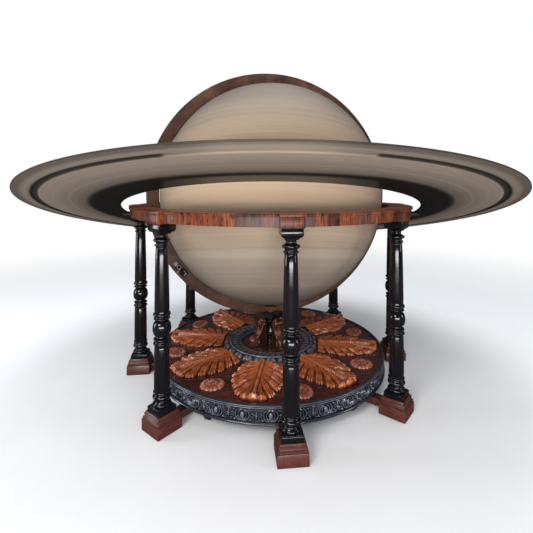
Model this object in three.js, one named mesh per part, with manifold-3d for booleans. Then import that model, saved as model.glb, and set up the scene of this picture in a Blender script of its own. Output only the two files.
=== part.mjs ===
// Ringed-planet orrery: a planet globe on a leaning axle in an upright support ring, standing in
// a round wooden floor stand with eight turned columns, a horizon ring, a carved lower platform
// and casters. A wide flat planet ring surrounds the horizon ring and tilts on two side brackets.
// Millimetres, +Z up. Origin on the floor under the globe's centre. The front faces -Y.
import * as THREE from "three";
import { mergeVertices } from "three/addons/utils/BufferGeometryUtils.js";
import Module from "manifold-3d";

const wasm = await Module();
wasm.setup();

// ---- driving dimensions; angles in degrees, azimuths from the front, positive to the right ----
const GAP = 0.3; // clearance between pieces that rest on each other
const GLOBE = { radius: 550, height: 876, shell: 8 }; // height: of the globe's centre
const TILT = 12.6; // lean of the axle and the planet ring, away from the front
const MERIDIAN = { inner: 557, outer: 616, thick: 24, turn: 10 }; // turn: plane from the X axis
const AXLE_RADIUS = 12;
const PIN_RADIUS = 5; // pole pins and the planet ring's tilt pins
const PLANET_RING = { inner: 718, outer: 1104, thick: 6, pivotDrop: 104 };
const PIVOT_HEIGHT = GLOBE.height - PLANET_RING.pivotDrop;
const COLUMNS = { count: 8, radius: 652, first: 6 };
const HORIZON = { inner: 583, outer: 684, bottom: 773, top: 821 };
const FOOT = { width: 106, height: 70 }; // foot blocks under the columns
const BEAM = { width: 44, bottom: 8, top: 36 }; // stretcher beams
const PLATFORM = { radius: 562, boardBottom: 84, top: 108 };
const ON_PLATFORM = PLATFORM.top + GAP; // underside of whatever lies on the board

const MATERIALS = {
  ebony: { color: 0x17161a, roughness: 0.25, metalness: 0 },
  mahogany: { color: 0x6a2c1c, roughness: 0.35, metalness: 0 },
  board: { color: 0x3a1a16, roughness: 0.3, metalness: 0 },
  veneer: { color: 0x8a3e1e, roughness: 0.3, metalness: 0 },
  carved: { color: 0xa8562c, roughness: 0.45, metalness: 0 },
  rosette: { color: 0x7c4028, roughness: 0.45, metalness: 0 },
  meridian: { color: 0x6e4b37, roughness: 0.5, metalness: 0 },
  globe: { color: 0xcdb898, roughness: 0.55, metalness: 0 },
  disc: { color: 0xa39a8c, roughness: 0.6, metalness: 0 },
  steel: { color: 0x8d8f93, roughness: 0.35, metalness: 1 },
  brass: { color: 0xb08d4a, roughness: 0.3, metalness: 1 },
  wheel: { color: 0x1c1a19, roughness: 0.6, metalness: 0 },
};

// ---- meshes and frames ----
const rad = THREE.MathUtils.degToRad;
const QUARTER = Math.PI / 2;
const group = new THREE.Group();

function solid(geometry) {
  const bare = geometry.index ? geometry.toNonIndexed() : geometry.clone();
  bare.deleteAttribute("normal");
  bare.deleteAttribute("uv");
  const welded = mergeVertices(bare, 1e-4);
  return new wasm.Manifold(
    new wasm.Mesh({
      numProp: 3,
      vertProperties: welded.attributes.position.array,
      triVerts: new Uint32Array(welded.index.array),
    }),
  );
}

// The union of several geometries, as a Manifold.
function joined(first, ...others) {
  return others.reduce((whole, part) => whole.add(solid(part)), solid(first));
}

function geometryOf(manifold) {
  const { vertProperties, triVerts } = manifold.getMesh();
  const indexed = new THREE.BufferGeometry();
  const positions = new THREE.BufferAttribute(new Float32Array(vertProperties), 3);
  indexed.setAttribute("position", positions);
  indexed.setIndex(new THREE.BufferAttribute(new Uint32Array(triVerts), 1));
  const flat = indexed.toNonIndexed();
  flat.computeVertexNormals();
  return flat;
}

// Adds a named mesh made from a geometry or a Manifold.
function add(name, shape, material, parent = group) {
  const geometry = shape.isBufferGeometry ? shape : geometryOf(shape);
  const mesh = new THREE.Mesh(geometry, new THREE.MeshStandardMaterial(MATERIALS[material]));
  mesh.name = name;
  parent.add(mesh);
}

// A frame on the Z axis, turned about one of its axes.
function frame({ height = 0, axis = "z", degrees = 0, parent = group }) {
  const place = new THREE.Group();
  place.position.z = height;
  place.rotation[axis] = rad(degrees);
  parent.add(place);
  return place;
}

// A frame at an azimuth and radius, on the floor: its local +X points outwards.
function spot(azimuth, radius = 0) {
  const angle = rad(azimuth);
  const place = new THREE.Group();
  place.position.set(radius * Math.sin(angle), -radius * Math.cos(angle), 0);
  place.rotation.z = angle - QUARTER;
  group.add(place);
  return place;
}

// ---- shapes; a range is a [from, to] pair ----
const centred = (width) => [-width / 2, width / 2];
const closed = (points) => [...points, points[0]];
const turnedZ = (geometry, degrees) => geometry.rotateZ(rad(degrees));
const along = (geometry) => geometry.rotateY(QUARTER); // lays a Z axis along +X
const across = (geometry) => geometry.rotateX(QUARTER); // lays a Z axis along -Y

// The points mirrored in their second coordinate, in reverse order.
const flipped = (points) => points.map(([first, second]) => [first, -second]).reverse();

// A range on the positive side (side = 1), or its mirror image (side = -1).
const onSide = (side, from, to) => (side > 0 ? [from, to] : [-to, -from]);

// Turned about Z from [radius, z] pairs, bottom to top.
function turned(points, segments) {
  const profile = points.map(([radius, z]) => new THREE.Vector2(radius, z));
  return across(new THREE.LatheGeometry(profile, segments));
}

// A square stack about Z from [half width, z] pairs, bottom to top.
function squared(points) {
  return turned(points.map(([half, z]) => [half * Math.SQRT2, z]), 4).rotateZ(Math.PI / 4);
}

function box([x0, x1], [y0, y1], [z0, z1]) {
  const geometry = new THREE.BoxGeometry(x1 - x0, y1 - y0, z1 - z0);
  return geometry.translate((x0 + x1) / 2, (y0 + y1) / 2, (z0 + z1) / 2);
}

function cylinder(radius, [z0, z1], segments) {
  return turned([[0, z0], [radius, z0], [radius, z1], [0, z1]], segments);
}

function tube(inner, outer, [z0, z1], segments) {
  return turned(closed([[inner, z0], [outer, z0], [outer, z1], [inner, z1]]), segments);
}

function extruded(points, [z0, z1]) {
  const shape = new THREE.Shape(points.map(([x, y]) => new THREE.Vector2(x, y)));
  const options = { depth: z1 - z0, bevelEnabled: false, steps: 1 };
  return new THREE.ExtrudeGeometry(shape, options).translate(0, 0, z0);
}

// ---- stretcher: a hub with eight beams ----
const columnAzimuth = (k) => COLUMNS.first + (360 / COLUMNS.count) * k;
const HUB_RADIUS = 92;

function stretcherSpider() {
  const heights = [BEAM.bottom, BEAM.top];
  const length = [20, COLUMNS.radius - FOOT.width / 2 - GAP];
  const parts = [cylinder(HUB_RADIUS, heights, 32)];
  for (let k = 0; k < COLUMNS.count; k++) {
    parts.push(turnedZ(box(length, centred(BEAM.width), heights), columnAzimuth(k) - 90));
  }
  return joined(...parts);
}
add("stretcher_spider", stretcherSpider(), "mahogany");

// ---- foot blocks and columns ----
const PLINTH_HALF = 38;
const ABACUS_HALF = 37.5;

// [half width, z]
const FOOT_PROFILE = [
  [0, 0], [FOOT.width / 2, 0], [FOOT.width / 2, 42], [48, 45], [49, 53], [44, 61],
  [43, FOOT.height], [0, FOOT.height],
];
const PLINTH_PROFILE = [
  [0, FOOT.height + GAP], [PLINTH_HALF, FOOT.height + GAP], [PLINTH_HALF, 88], [34, 91], [0, 91],
];
const ABACUS_PROFILE = [
  [0, 733], [24, 733], [32, 744], [ABACUS_HALF, 748],
  [ABACUS_HALF, HORIZON.bottom - GAP], [0, HORIZON.bottom - GAP],
];
// [radius, z]
const SHAFT_PROFILE = [
  [0, 89], [33, 89], [34, 102], [25, 113], [34, 128], [29, 140], [32, 147], [30, 152],
  [27.8, 316], [32, 325], [27, 332], [31, 341], [24, 350], [34, 379], [24, 407], [30, 416],
  [26, 422], [32, 432], [28, 443], [23, 684], [27, 692], [23, 698], [31.5, 711], [19, 727],
  [23, 737], [0, 737],
];

function column() {
  return joined(turned(SHAFT_PROFILE, 10), squared(PLINTH_PROFILE), squared(ABACUS_PROFILE));
}
for (let k = 0; k < COLUMNS.count; k++) {
  const place = spot(columnAzimuth(k), COLUMNS.radius);
  add(`foot_block_${k + 1}`, squared(FOOT_PROFILE), "mahogany", place);
  add(`column_${k + 1}`, column(), "ebony", place);
}

// ---- horizon ring with breakfront blocks and two notches for the upright ring ----
const BLOCK = { width: 84, outer: 698, lowerInner: 612, upperInner: 620 };
const LIP = { depth: 12, sides: 3 }; // the projecting top band of the ring and its blocks

function horizonRing() {
  const { inner, outer, bottom, top } = HORIZON;
  const lip = [top - LIP.depth, top];
  const parts = [tube(inner, outer - 6, [bottom + 3, top - 10], 64), tube(inner, outer, lip, 64)];
  for (let k = 0; k < COLUMNS.count; k++) {
    const lower = box([BLOCK.lowerInner, BLOCK.outer - 4], centred(BLOCK.width), [bottom, top - 11]);
    const upper = box([BLOCK.upperInner, BLOCK.outer], centred(BLOCK.width + 2 * LIP.sides), lip);
    parts.push(...[lower, upper].map((block) => turnedZ(block, columnAzimuth(k) - 90)));
  }
  let ring = joined(...parts);
  const notchLength = [inner - 20, MERIDIAN.outer + 4];
  for (const side of [0, 180]) {
    const notch = box(notchLength, centred(MERIDIAN.thick + 3), [bottom - 10, top + 10]);
    ring = ring.subtract(solid(turnedZ(notch, MERIDIAN.turn + side)));
  }
  return ring;
}
add("horizon_ring", horizonRing(), "veneer");

// ---- platform: a board with a bearer ring under it, and a moulded rim ----
const RIM = { inner: PLATFORM.radius - 18, bottom: 42, top: 114 };
const BEARER = { inner: 370, outer: 430 }; // rests on the stretcher beams

function platformBoard() {
  const { boardBottom, top } = PLATFORM;
  const edge = RIM.inner - 1;
  const bearerBottom = BEAM.top + GAP;
  const profile = [
    [0, boardBottom], [BEARER.inner, boardBottom], [BEARER.inner, bearerBottom],
    [BEARER.outer, bearerBottom], [BEARER.outer, boardBottom],
    [edge, boardBottom], [edge, top], [0, top],
  ];
  return turned(profile, 48);
}

function platformRim() {
  const { inner, bottom, top } = RIM;
  const outer = PLATFORM.radius;
  const profile = [
    [inner, bottom], [outer, bottom], [outer, bottom + 8], [outer - 6, bottom + 12],
    [outer - 6, top - 14], [outer, top - 8], [outer - 4, top], [inner, top],
  ];
  return turned(closed(profile), 48);
}
add("platform_board", platformBoard(), "board");
add("platform_rim", platformRim(), "ebony");

// ---- carving on the platform: leaves with raised tips, rosettes and a ring ----
const CARVINGS = 8; // of leaves, and of rosettes
const CARVING_STEP = 360 / CARVINGS;
const LEAF_FIRST = -7.5;
const ROSETTE = { first: 15, circle: 472, radius: 50 };
const BOSS = { inner: 150, outer: 240, height: 22 };

// One edge of the leaf: [distance from the stand's axis, half width]
const LEAF_LOBES = [
  [250, 36], [270, 66], [280, 54], [318, 95], [326, 74], [366, 116], [374, 92], [414, 116],
  [420, 88], [458, 92], [464, 63], [496, 61], [506, 42],
];
const LEAF_OUTLINE = [[243, -23], [243, 23], ...LEAF_LOBES, [530, 0], ...flipped(LEAF_LOBES)];
const TIP_OUTLINE = [[480, -37], [535, -21], [535, 21], [480, 37]];
const RIB_OUTLINE = [[247, -10], [496, -7], [496, 7], [247, 10]];

function acanthusLeaf() {
  const { top } = PLATFORM;
  return joined(
    extruded(LEAF_OUTLINE, [ON_PLATFORM, top + 10]),
    extruded(TIP_OUTLINE, [top + 6, top + 28]),
    extruded(RIB_OUTLINE, [top + 5, top + 20]),
  );
}

function rosette() {
  const z = ON_PLATFORM;
  const { radius } = ROSETTE;
  return turned([[0, z], [radius, z], [radius, z + 6], [38, z + 12], [14, z + 16], [0, z + 17]], 14);
}

function bossRing() {
  const z = ON_PLATFORM;
  const { inner, outer, height } = BOSS;
  const profile = [
    [inner, z], [outer, z], [outer, z + 6], [outer - 26, z + height], [inner, z + 12],
  ];
  return turned(closed(profile), 40);
}
for (let k = 0; k < CARVINGS; k++) {
  add(`acanthus_leaf_${k + 1}`, acanthusLeaf(), "carved", spot(LEAF_FIRST + CARVING_STEP * k));
}
for (let k = 0; k < CARVINGS; k++) {
  const place = spot(ROSETTE.first + CARVING_STEP * k, ROSETTE.circle);
  add(`rosette_${k + 1}`, rosette(), "rosette", place);
}
add("boss_ring", bossRing(), "ebony");

// ---- centre cluster that carries the upright ring ----
const CONSOLES = { count: 4, first: -58, thick: 36 };

// [radius, z]
const CRADLE_POST = [
  [0, ON_PLATFORM], [34, ON_PLATFORM], [32, 122], [26, 136], [26, 218], [33, 232], [33, 244],
  [0, 244],
];
// [distance from the stand's axis, height above the console's underside]
const CONSOLE_OUTLINE = [
  [37, 0], [114, 0], [116, 7], [110, 12], [116, 22], [118, 34], [112, 46], [100, 52], [88, 51],
  [78, 60], [71, 75], [70, 91], [74, 104], [82, 113], [83, 123], [76, 130], [64, 132],
  [46, 127], [37, 121],
];

// A post and a head, with a groove that the upright ring sits in.
function ringCradle() {
  const { inner, outer, thick } = MERIDIAN;
  const groove = across(tube(inner - 20, outer + 0.6, centred(thick + 1), 80));
  const cradle = joined(turned(CRADLE_POST, 20), box([-56, 56], [-28, 28], [242, 272]))
    .subtract(solid(groove.translate(0, 0, GLOBE.height)));
  return turnedZ(geometryOf(cradle), MERIDIAN.turn);
}

function scrollConsole() {
  const outline = CONSOLE_OUTLINE.map(([x, rise]) => [x, ON_PLATFORM + rise]);
  return across(extruded(outline, centred(CONSOLES.thick)));
}
add("ring_cradle", ringCradle(), "ebony");
for (let k = 0; k < CONSOLES.count; k++) {
  const place = spot(CONSOLES.first + (360 / CONSOLES.count) * k);
  add(`scroll_console_${k + 1}`, scrollConsole(), "carved", place);
}

// ---- frames at the globe's centre ----
const upright = frame({ height: GLOBE.height, degrees: MERIDIAN.turn });
const planet = frame({ height: GLOBE.height, axis: "x", degrees: -TILT });
const level = frame({ height: GLOBE.height });

// ---- upright support ring, its pole brackets and its catch ----
function meridianRing() {
  return across(tube(MERIDIAN.inner, MERIDIAN.outer, centred(MERIDIAN.thick), 80));
}
add("meridian_ring", solid(meridianRing()), "meridian", upright);

// The axle leans straight back, so each pole sits beside the upright ring: a curved bracket
// reaches from the ring to it, behind at the top and in front at the bottom.
const BRACKET = { width: 52, thick: 16, arcWidth: 50, bossRadius: 20 };

// side: 1 for the top bracket, -1 for the bottom one
function poleBracket(side) {
  const { inner, outer, thick, turn } = MERIDIAN;
  const width = centred(BRACKET.width);
  const leaning = (radius, range, segments) =>
    solid(cylinder(radius, range, segments).rotateX(rad(-TILT)));

  const hoop = tube(inner, inner + BRACKET.thick, centred(BRACKET.arcWidth), 72);
  const stretch = box(width, onSide(side, -2, 150), onSide(side, 450, 640));
  const ringSpace = across(tube(inner - 1, outer + 1, centred(thick + 2 * GAP), 80));
  const foot = solid(box(width, onSide(side, 0, 14), onSide(side, inner + 1, inner + 34)))
    .translate([0, side * (thick / 2 + GAP), 0])
    .rotate([0, 0, turn]);

  return solid(along(hoop.rotateZ(QUARTER)))
    .intersect(solid(stretch))
    .add(leaning(BRACKET.bossRadius, onSide(side, inner + 1, inner + 24), 20))
    .subtract(solid(turnedZ(ringSpace, turn)))
    .add(leaning(PIN_RADIUS, onSide(side, GLOBE.radius - 22, inner + 10), 16))
    .add(foot);
}
add("pole_bracket_top", poleBracket(1), "brass", level);
add("pole_bracket_bottom", poleBracket(-1), "brass", level);

// The catch lies on the ring's front face, at the lower left.
const CATCH = { belowLeft: 39, inner: 568, outer: 597, thick: 3 };

function meridianCatch() {
  const face = -MERIDIAN.thick / 2 - GAP;
  return joined(
    box([CATCH.inner, CATCH.outer], [face - CATCH.thick, face], [-32, 32]),
    across(cylinder(8, [0, 7], 16)).translate(583, face - 2, 18),
    box([576, 590], [face - 9, face - 2], [-24, -6]),
  );
}
const catchPlace = frame({ axis: "y", degrees: 180 - CATCH.belowLeft, parent: upright });
add("meridian_catch", meridianCatch(), "brass", catchPlace);

// ---- globe: two half shells on an axle with flanges ----
const SHELL_INNER = GLOBE.radius - GLOBE.shell;
const SHELL_STEPS = 7;
const SOCKET_RADIUS = PIN_RADIUS + GAP;

// A shell profile from just above the equator to the edge of the pole's hole.
function shellArc(radius) {
  const start = Math.asin(GAP / 2 / radius);
  const end = Math.acos((AXLE_RADIUS + 0.5) / radius);
  return Array.from({ length: SHELL_STEPS + 1 }, (_, i) => {
    const angle = start + ((end - start) * i) / SHELL_STEPS;
    return [radius * Math.cos(angle), radius * Math.sin(angle)];
  });
}

function halfShell() {
  return turned(closed([...shellArc(GLOBE.radius), ...shellArc(SHELL_INNER).reverse()]), 32);
}

// A flanged rod with a blind socket in each end.
function polarAxle() {
  const end = GLOBE.radius - 3;
  const socketFloor = GLOBE.radius - 30;
  const flange = { radius: 34, outside: SHELL_INNER - 6 };
  const lower = [
    [0, -socketFloor], [SOCKET_RADIUS, -socketFloor], [SOCKET_RADIUS, -end],
    [AXLE_RADIUS, -end], [AXLE_RADIUS, -flange.outside], [flange.radius, -flange.outside],
    [flange.radius, -flange.outside + 6], [AXLE_RADIUS, -flange.outside + 10],
  ];
  return turned([...lower, ...flipped(lower)], 16);
}
add("hemisphere_north", halfShell(), "globe", planet);
add("hemisphere_south", halfShell().rotateX(Math.PI), "globe", planet);
add("polar_axle", polarAxle(), "steel", planet);

// ---- planet ring, and the brackets on the horizon ring whose pins it tilts on ----
function planetRing() {
  const { inner, outer, thick } = PLANET_RING;
  let ring = solid(tube(inner, outer, centred(thick), 88));
  for (const side of [0, 180]) {
    const lug = box([inner - 6, inner + 46], [-15, 15], [-10, 10]);
    const socket = along(cylinder(SOCKET_RADIUS, [inner - 20, inner + 34], 16));
    ring = ring.add(solid(turnedZ(lug, side))).subtract(solid(turnedZ(socket, side)));
  }
  return ring;
}

// The right-hand bracket: a plate outside the horizon ring, a foot under it, a boss and a pin.
function ringBracket() {
  const { outer, bottom, top } = HORIZON;
  const plateOuter = outer + 6;
  const width = [-20, 20];
  const plateBottom = PIVOT_HEIGHT - 14;
  const onPivot = (radius, range, segments) =>
    along(cylinder(radius, range, segments)).translate(0, 0, PIVOT_HEIGHT);
  return joined(
    box([outer + GAP, plateOuter], width, [plateBottom, top - 4]),
    box([outer - 44, plateOuter], width, [plateBottom, bottom - GAP]),
    onPivot(11, [outer + 5, outer + 14], 20),
    onPivot(PIN_RADIUS, [outer + 5, PLANET_RING.inner + 30], 16),
  );
}
const ringPlace = frame({ height: PIVOT_HEIGHT, axis: "x", degrees: -TILT });
add("planet_ring", planetRing(), "disc", ringPlace);
for (const [side, degrees] of [["right", 0], ["left", 180]]) {
  add(`ring_bracket_${side}`, turnedZ(geometryOf(ringBracket()), degrees), "steel");
}

// ---- casters under the platform, beside four of the beams ----
const CASTER = { circle: 510, azimuths: [-28, 40, 152, 220] };
const WHEEL = { radius: 30, hole: 4.9, axleHeight: 31 };

function casterFork() {
  const top = PLATFORM.boardBottom - GAP;
  const crown = 2 * WHEEL.radius + 7.5; // top of the fork's crown, just over the wheel
  const width = [-15, 15];
  return joined(
    cylinder(19, [top - 5, top], 16),
    cylinder(9, [crown - 2, top - 4], 12),
    box(width, [-17, -12.5], [20, crown]),
    box(width, [12.5, 17], [20, crown]),
    box(width, [-17, 17], [crown - 5, crown]),
    across(cylinder(4.5, [-14, 14], 12)).translate(0, 0, WHEEL.axleHeight),
  );
}

function casterWheel() {
  const { radius, hole, axleHeight } = WHEEL;
  const lower = [[hole, -11], [radius - 2, -9], [radius, -6]];
  const wheel = turned(closed([...lower, ...flipped(lower)]), 20);
  return across(wheel).translate(0, 0, axleHeight);
}
CASTER.azimuths.forEach((azimuth, i) => {
  const place = spot(azimuth, CASTER.circle);
  add(`caster_fork_${i + 1}`, casterFork(), "brass", place);
  add(`caster_wheel_${i + 1}`, casterWheel(), "wheel", place);
});

export default group;
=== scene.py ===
# Looks of a ringed-planet orrery in a carved floor stand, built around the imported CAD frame.
# Lengths in the helper code are millimetres and are turned into metres when a mesh is made.
import math

import bpy
import numpy as np
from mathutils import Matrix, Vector


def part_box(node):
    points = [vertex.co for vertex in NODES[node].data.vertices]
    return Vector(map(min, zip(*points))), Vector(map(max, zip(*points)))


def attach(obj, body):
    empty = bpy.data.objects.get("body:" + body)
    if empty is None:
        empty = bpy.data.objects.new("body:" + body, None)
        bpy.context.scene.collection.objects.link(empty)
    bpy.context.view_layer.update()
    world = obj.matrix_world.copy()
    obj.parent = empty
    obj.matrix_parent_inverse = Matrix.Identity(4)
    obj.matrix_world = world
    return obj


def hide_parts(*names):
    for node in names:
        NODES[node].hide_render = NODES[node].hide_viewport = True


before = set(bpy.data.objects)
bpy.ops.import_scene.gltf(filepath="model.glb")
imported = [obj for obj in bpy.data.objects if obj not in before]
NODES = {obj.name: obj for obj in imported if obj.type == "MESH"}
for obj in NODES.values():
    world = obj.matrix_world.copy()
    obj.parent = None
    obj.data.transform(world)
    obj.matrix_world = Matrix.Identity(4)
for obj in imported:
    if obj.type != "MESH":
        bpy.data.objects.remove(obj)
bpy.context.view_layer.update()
rng = np.random.default_rng(7)


def top(node):
    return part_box(node)[1].z * 1000


def bottom(node):
    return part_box(node)[0].z * 1000


# ---- sizes read from the frame ----
GLOBE_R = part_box("hemisphere_north")[1].x * 1000
GLOBE_Z = (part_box("meridian_ring")[0].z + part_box("meridian_ring")[1].z) * 500
MER_RO = (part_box("meridian_ring")[1].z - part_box("meridian_ring")[0].z) * 500
MER_RI, MER_T, RING_TURN = 557, 24, 10
TILT = 12.6
HOR_TOP, HOR_BOT = top("horizon_ring"), bottom("horizon_ring")
HOR_RI, HOR_RO, BLOCK_RO, BLOCK_W = 583, 684, 698, 84
PLANET_RI, PLANET_RO = 718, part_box("planet_ring")[1].x * 1000
PIVOT_Z = (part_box("planet_ring")[0].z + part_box("planet_ring")[1].z) * 500
FOOT_H = top("foot_block_1")
PLAT_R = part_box("platform_rim")[1].x * 1000
PLAT_TOP = top("platform_board")
RIM_Z0, RIM_Z1 = bottom("platform_rim"), top("platform_rim")
BEAM_Z0, BEAM_Z1 = bottom("stretcher_spider"), top("stretcher_spider")
COL_R, COL_A0 = 652, 6
LEAF_A0, ROS_A0 = -7.5, 15
BOSS_RI, BOSS_RO = 150, 240
CASTER_R, WHEEL_R = 510, (top("caster_wheel_1") - bottom("caster_wheel_1")) / 2
WHEEL_Z = (top("caster_wheel_1") + bottom("caster_wheel_1")) / 2
BOARD_Z0 = 84
CROWN = 2 * WHEEL_R + 7.5  # top of a caster fork's crown
HZ = HOR_BOT - 773  # every height below is written for a horizon ring whose underside is at 773


# ---- mesh code ----
class Mesh:
    """Collects grids and polygons with per-vertex attributes; every array is in millimetres."""

    def __init__(self):
        self.v, self.f, self.n, self.att, self.mi = [], [], 0, {}, []

    def add(self, verts, faces, mat=0, **att):
        verts = np.asarray(verts, float).reshape(-1, 3)
        for k in set(self.att) | set(att):
            if k not in self.att:
                self.att[k] = [np.zeros(self.n)] if self.n else []
            val = att.get(k)
            self.att[k].append(np.zeros(len(verts)) if val is None else np.broadcast_to(np.asarray(val, float).ravel(), (len(verts),)).copy())
        for f in faces:
            f = np.asarray(f, int)
            if f.size:
                self.f.append(f + self.n)
                self.mi.append(np.full(len(f), mat))
        self.v.append(verts)
        self.n += len(verts)
        return self

    def make(self, name, mats, angle=32, keep_loc=True):
        v = np.concatenate(self.v) / 1000
        me = bpy.data.meshes.new(name)
        me.vertices.add(len(v))
        me.vertices.foreach_set("co", v.astype(np.float32).ravel())
        loops = np.concatenate([f.ravel() for f in self.f])
        totals = np.concatenate([np.full(len(f), f.shape[1]) for f in self.f])
        me.loops.add(len(loops))
        me.loops.foreach_set("vertex_index", loops.astype(np.int32))
        me.polygons.add(len(totals))
        me.polygons.foreach_set("loop_start", np.concatenate([[0], np.cumsum(totals)[:-1]]).astype(np.int32))
        me.polygons.foreach_set("material_index", np.concatenate(self.mi).astype(np.int32))
        me.update(calc_edges=True)
        me.validate()
        me.polygons.foreach_set("use_smooth", np.ones(len(me.polygons), bool))
        for k, parts in self.att.items():
            a = me.attributes.new(k, "FLOAT", "POINT")
            a.data.foreach_set("value", np.concatenate(parts).astype(np.float32))
        if angle < 180:
            me.set_sharp_from_angle(angle=math.radians(angle))
        for m in mats if isinstance(mats, (list, tuple)) else [mats]:
            me.materials.append(m)
        o = bpy.data.objects.new(name, me)
        bpy.context.scene.collection.objects.link(o)
        return o


def grid_faces(nu, nv, cu=False, cv=False, flip=False):
    iu = np.arange(nu if cu else nu - 1)
    iv = np.arange(nv if cv else nv - 1)
    a, b = np.meshgrid(iu, iv, indexing="ij")
    a, b = a.ravel(), b.ravel()
    a2, b2 = (a + 1) % nu, (b + 1) % nv
    q = np.stack([a * nv + b, a2 * nv + b, a2 * nv + b2, a * nv + b2], 1)
    return q[:, ::-1] if flip else q


def arc(p0, p1, bulge=0.5, n=6):
    """Points from p0 to p1 (p0 left out), bowed to the right of the direction of travel by bulge times half the chord."""
    (x0, y0), (x1, y1) = p0, p1
    out = []
    for i in range(1, n + 1):
        t = i / n
        s = math.sin(math.pi * t) * bulge * 0.5
        out.append((x0 + (x1 - x0) * t + (y1 - y0) * s, y0 + (y1 - y0) * t - (x1 - x0) * s))
    return out


def profile(*steps):
    """First a point, then points or (r, z, bulge) triples; a triple is an arc from the point before it."""
    pts = [steps[0]]
    for s in steps[1:]:
        if len(s) == 3:
            pts += arc(pts[-1], s[:2], s[2], 8)
        else:
            pts.append(tuple(s))
    return np.array(pts, float)


def lathe(m, prof, seg=96, mat=0, closed=False, a0=0.0, a1=2 * math.pi, centre=(0, 0, 0), **att):
    full = abs(a1 - a0 - 2 * math.pi) < 1e-6
    n = seg if full else seg + 1
    a = a0 + (a1 - a0) * np.arange(n) / seg
    r, z = prof[:, 0], prof[:, 1]
    P = np.stack([np.cos(a)[:, None] * r, np.sin(a)[:, None] * r, np.broadcast_to(z, (n, len(r)))], 2)
    P = P + np.array(centre)
    A = np.broadcast_to(a[:, None], (n, len(r)))
    R = np.broadcast_to(r[None], (n, len(r)))
    faces = [grid_faces(n, len(r), cu=full, cv=closed)]
    m.add(P, faces, mat, az=A, rad=R, **att)
    return m


def stack(m, prof, corner=1.6, mat=0, place=None, **att):
    """A square turned stack: prof is half width and height; corners are rounded by corner."""
    k = 4
    ring = []
    for q in range(4):
        for i in range(k):
            t = math.pi / 2 * (q + i / (k - 1))
            ring.append((q, math.cos(t), math.sin(t)))
    sx = [(1, 1), (-1, 1), (-1, -1), (1, -1)]
    P = []
    for q, c, s in ring:
        row = []
        for h, z in prof:
            cr = min(corner, h * 0.5)
            row.append((sx[q][0] * (h - cr) + cr * c, sx[q][1] * (h - cr) + cr * s, z))
        P.append(row)
    P = np.array(P)
    nv = P.shape[1]
    faces = [grid_faces(len(ring), nv, cu=True)]
    V = P.reshape(-1, 3)
    m_v = V if place is None else place(V)
    m.add(m_v, faces, mat, lx=V[:, 0], ly=V[:, 1], lz=V[:, 2], **att)
    return m


def at(azimuth, radius=0.0, z=0.0):
    """Local +X outwards at an azimuth from the front, as in the frame."""
    a = math.radians(azimuth)
    t = a - math.pi / 2
    c, s = math.cos(t), math.sin(t)
    o = np.array([radius * math.sin(a), -radius * math.cos(a), z])

    def f(V):
        V = np.asarray(V, float)
        return np.stack([V[..., 0] * c - V[..., 1] * s, V[..., 0] * s + V[..., 1] * c, V[..., 2]], -1) + o

    return f


def rotz(V, degrees):
    t = math.radians(degrees)
    c, s = math.cos(t), math.sin(t)
    return np.stack([V[..., 0] * c - V[..., 1] * s, V[..., 0] * s + V[..., 1] * c, V[..., 2]], -1)


def rotx(V, degrees):
    t = math.radians(degrees)
    c, s = math.cos(t), math.sin(t)
    return np.stack([V[..., 0], V[..., 1] * c - V[..., 2] * s, V[..., 1] * s + V[..., 2] * c], -1)


def rounded_box(m, x0, x1, y0, y1, z0, z1, c=1.5, mat=0, place=None, **att):
    """A box with rounded upright edges and chamfered top and bottom."""
    hx, hy = (x1 - x0) / 2, (y1 - y0) / 2
    cx, cy = (x0 + x1) / 2, (y0 + y1) / 2
    k = 4
    sx = [(1, 1), (-1, 1), (-1, -1), (1, -1)]
    levels = [(0.001 - min(hx, hy), z0), (-c, z0), (-c * 0.3, z0 + c * 0.3), (0, z0 + c), (0, z1 - c), (-c * 0.3, z1 - c * 0.3), (-c, z1), (0.001 - min(hx, hy), z1)]
    P = []
    for q in range(4):
        for i in range(k):
            t = math.pi / 2 * (q + i / (k - 1))
            row = []
            for inset, z in levels:
                ax, ay = max(hx + inset, 0.01), max(hy + inset, 0.01)
                cr = min(c, ax * 0.9, ay * 0.9)
                row.append((cx + sx[q][0] * (ax - cr) + cr * math.cos(t), cy + sx[q][1] * (ay - cr) + cr * math.sin(t), z))
            P.append(row)
    P = np.array(P)
    V = P.reshape(-1, 3)
    m.add(V if place is None else place(V), [grid_faces(4 * k, len(levels), cu=True)], mat, lx=V[:, 0], ly=V[:, 1], lz=V[:, 2], **att)
    return m


def tube(m, path, radius, sides=10, mat=0, place=None, **att):
    """A round bar along a path of points; radius may be one number or one per point."""
    P = np.asarray(path, float)
    n = len(P)
    rr = np.broadcast_to(np.asarray(radius, float), (n,))
    T = np.gradient(P, axis=0)
    T /= np.linalg.norm(T, axis=1)[:, None]
    up = np.array([0, 0, 1.0]) if abs(T[0][2]) < 0.9 else np.array([1.0, 0, 0])
    N = np.cross(T[0], up)
    N /= np.linalg.norm(N)
    rows = []
    for i in range(n):
        N = N - T[i] * N.dot(T[i])
        N /= np.linalg.norm(N)
        B = np.cross(T[i], N)
        a = np.arange(sides) / sides * 2 * math.pi
        rows.append(P[i] + rr[i] * (np.cos(a)[:, None] * N + np.sin(a)[:, None] * B))
    rows = [np.repeat(P[:1], sides, 0)] + rows + [np.repeat(P[-1:], sides, 0)]
    V = np.array(rows).reshape(-1, 3)
    m.add(V if place is None else place(V), [grid_faces(n + 2, sides, cv=True, flip=True)], mat, **att)
    return m


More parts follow.
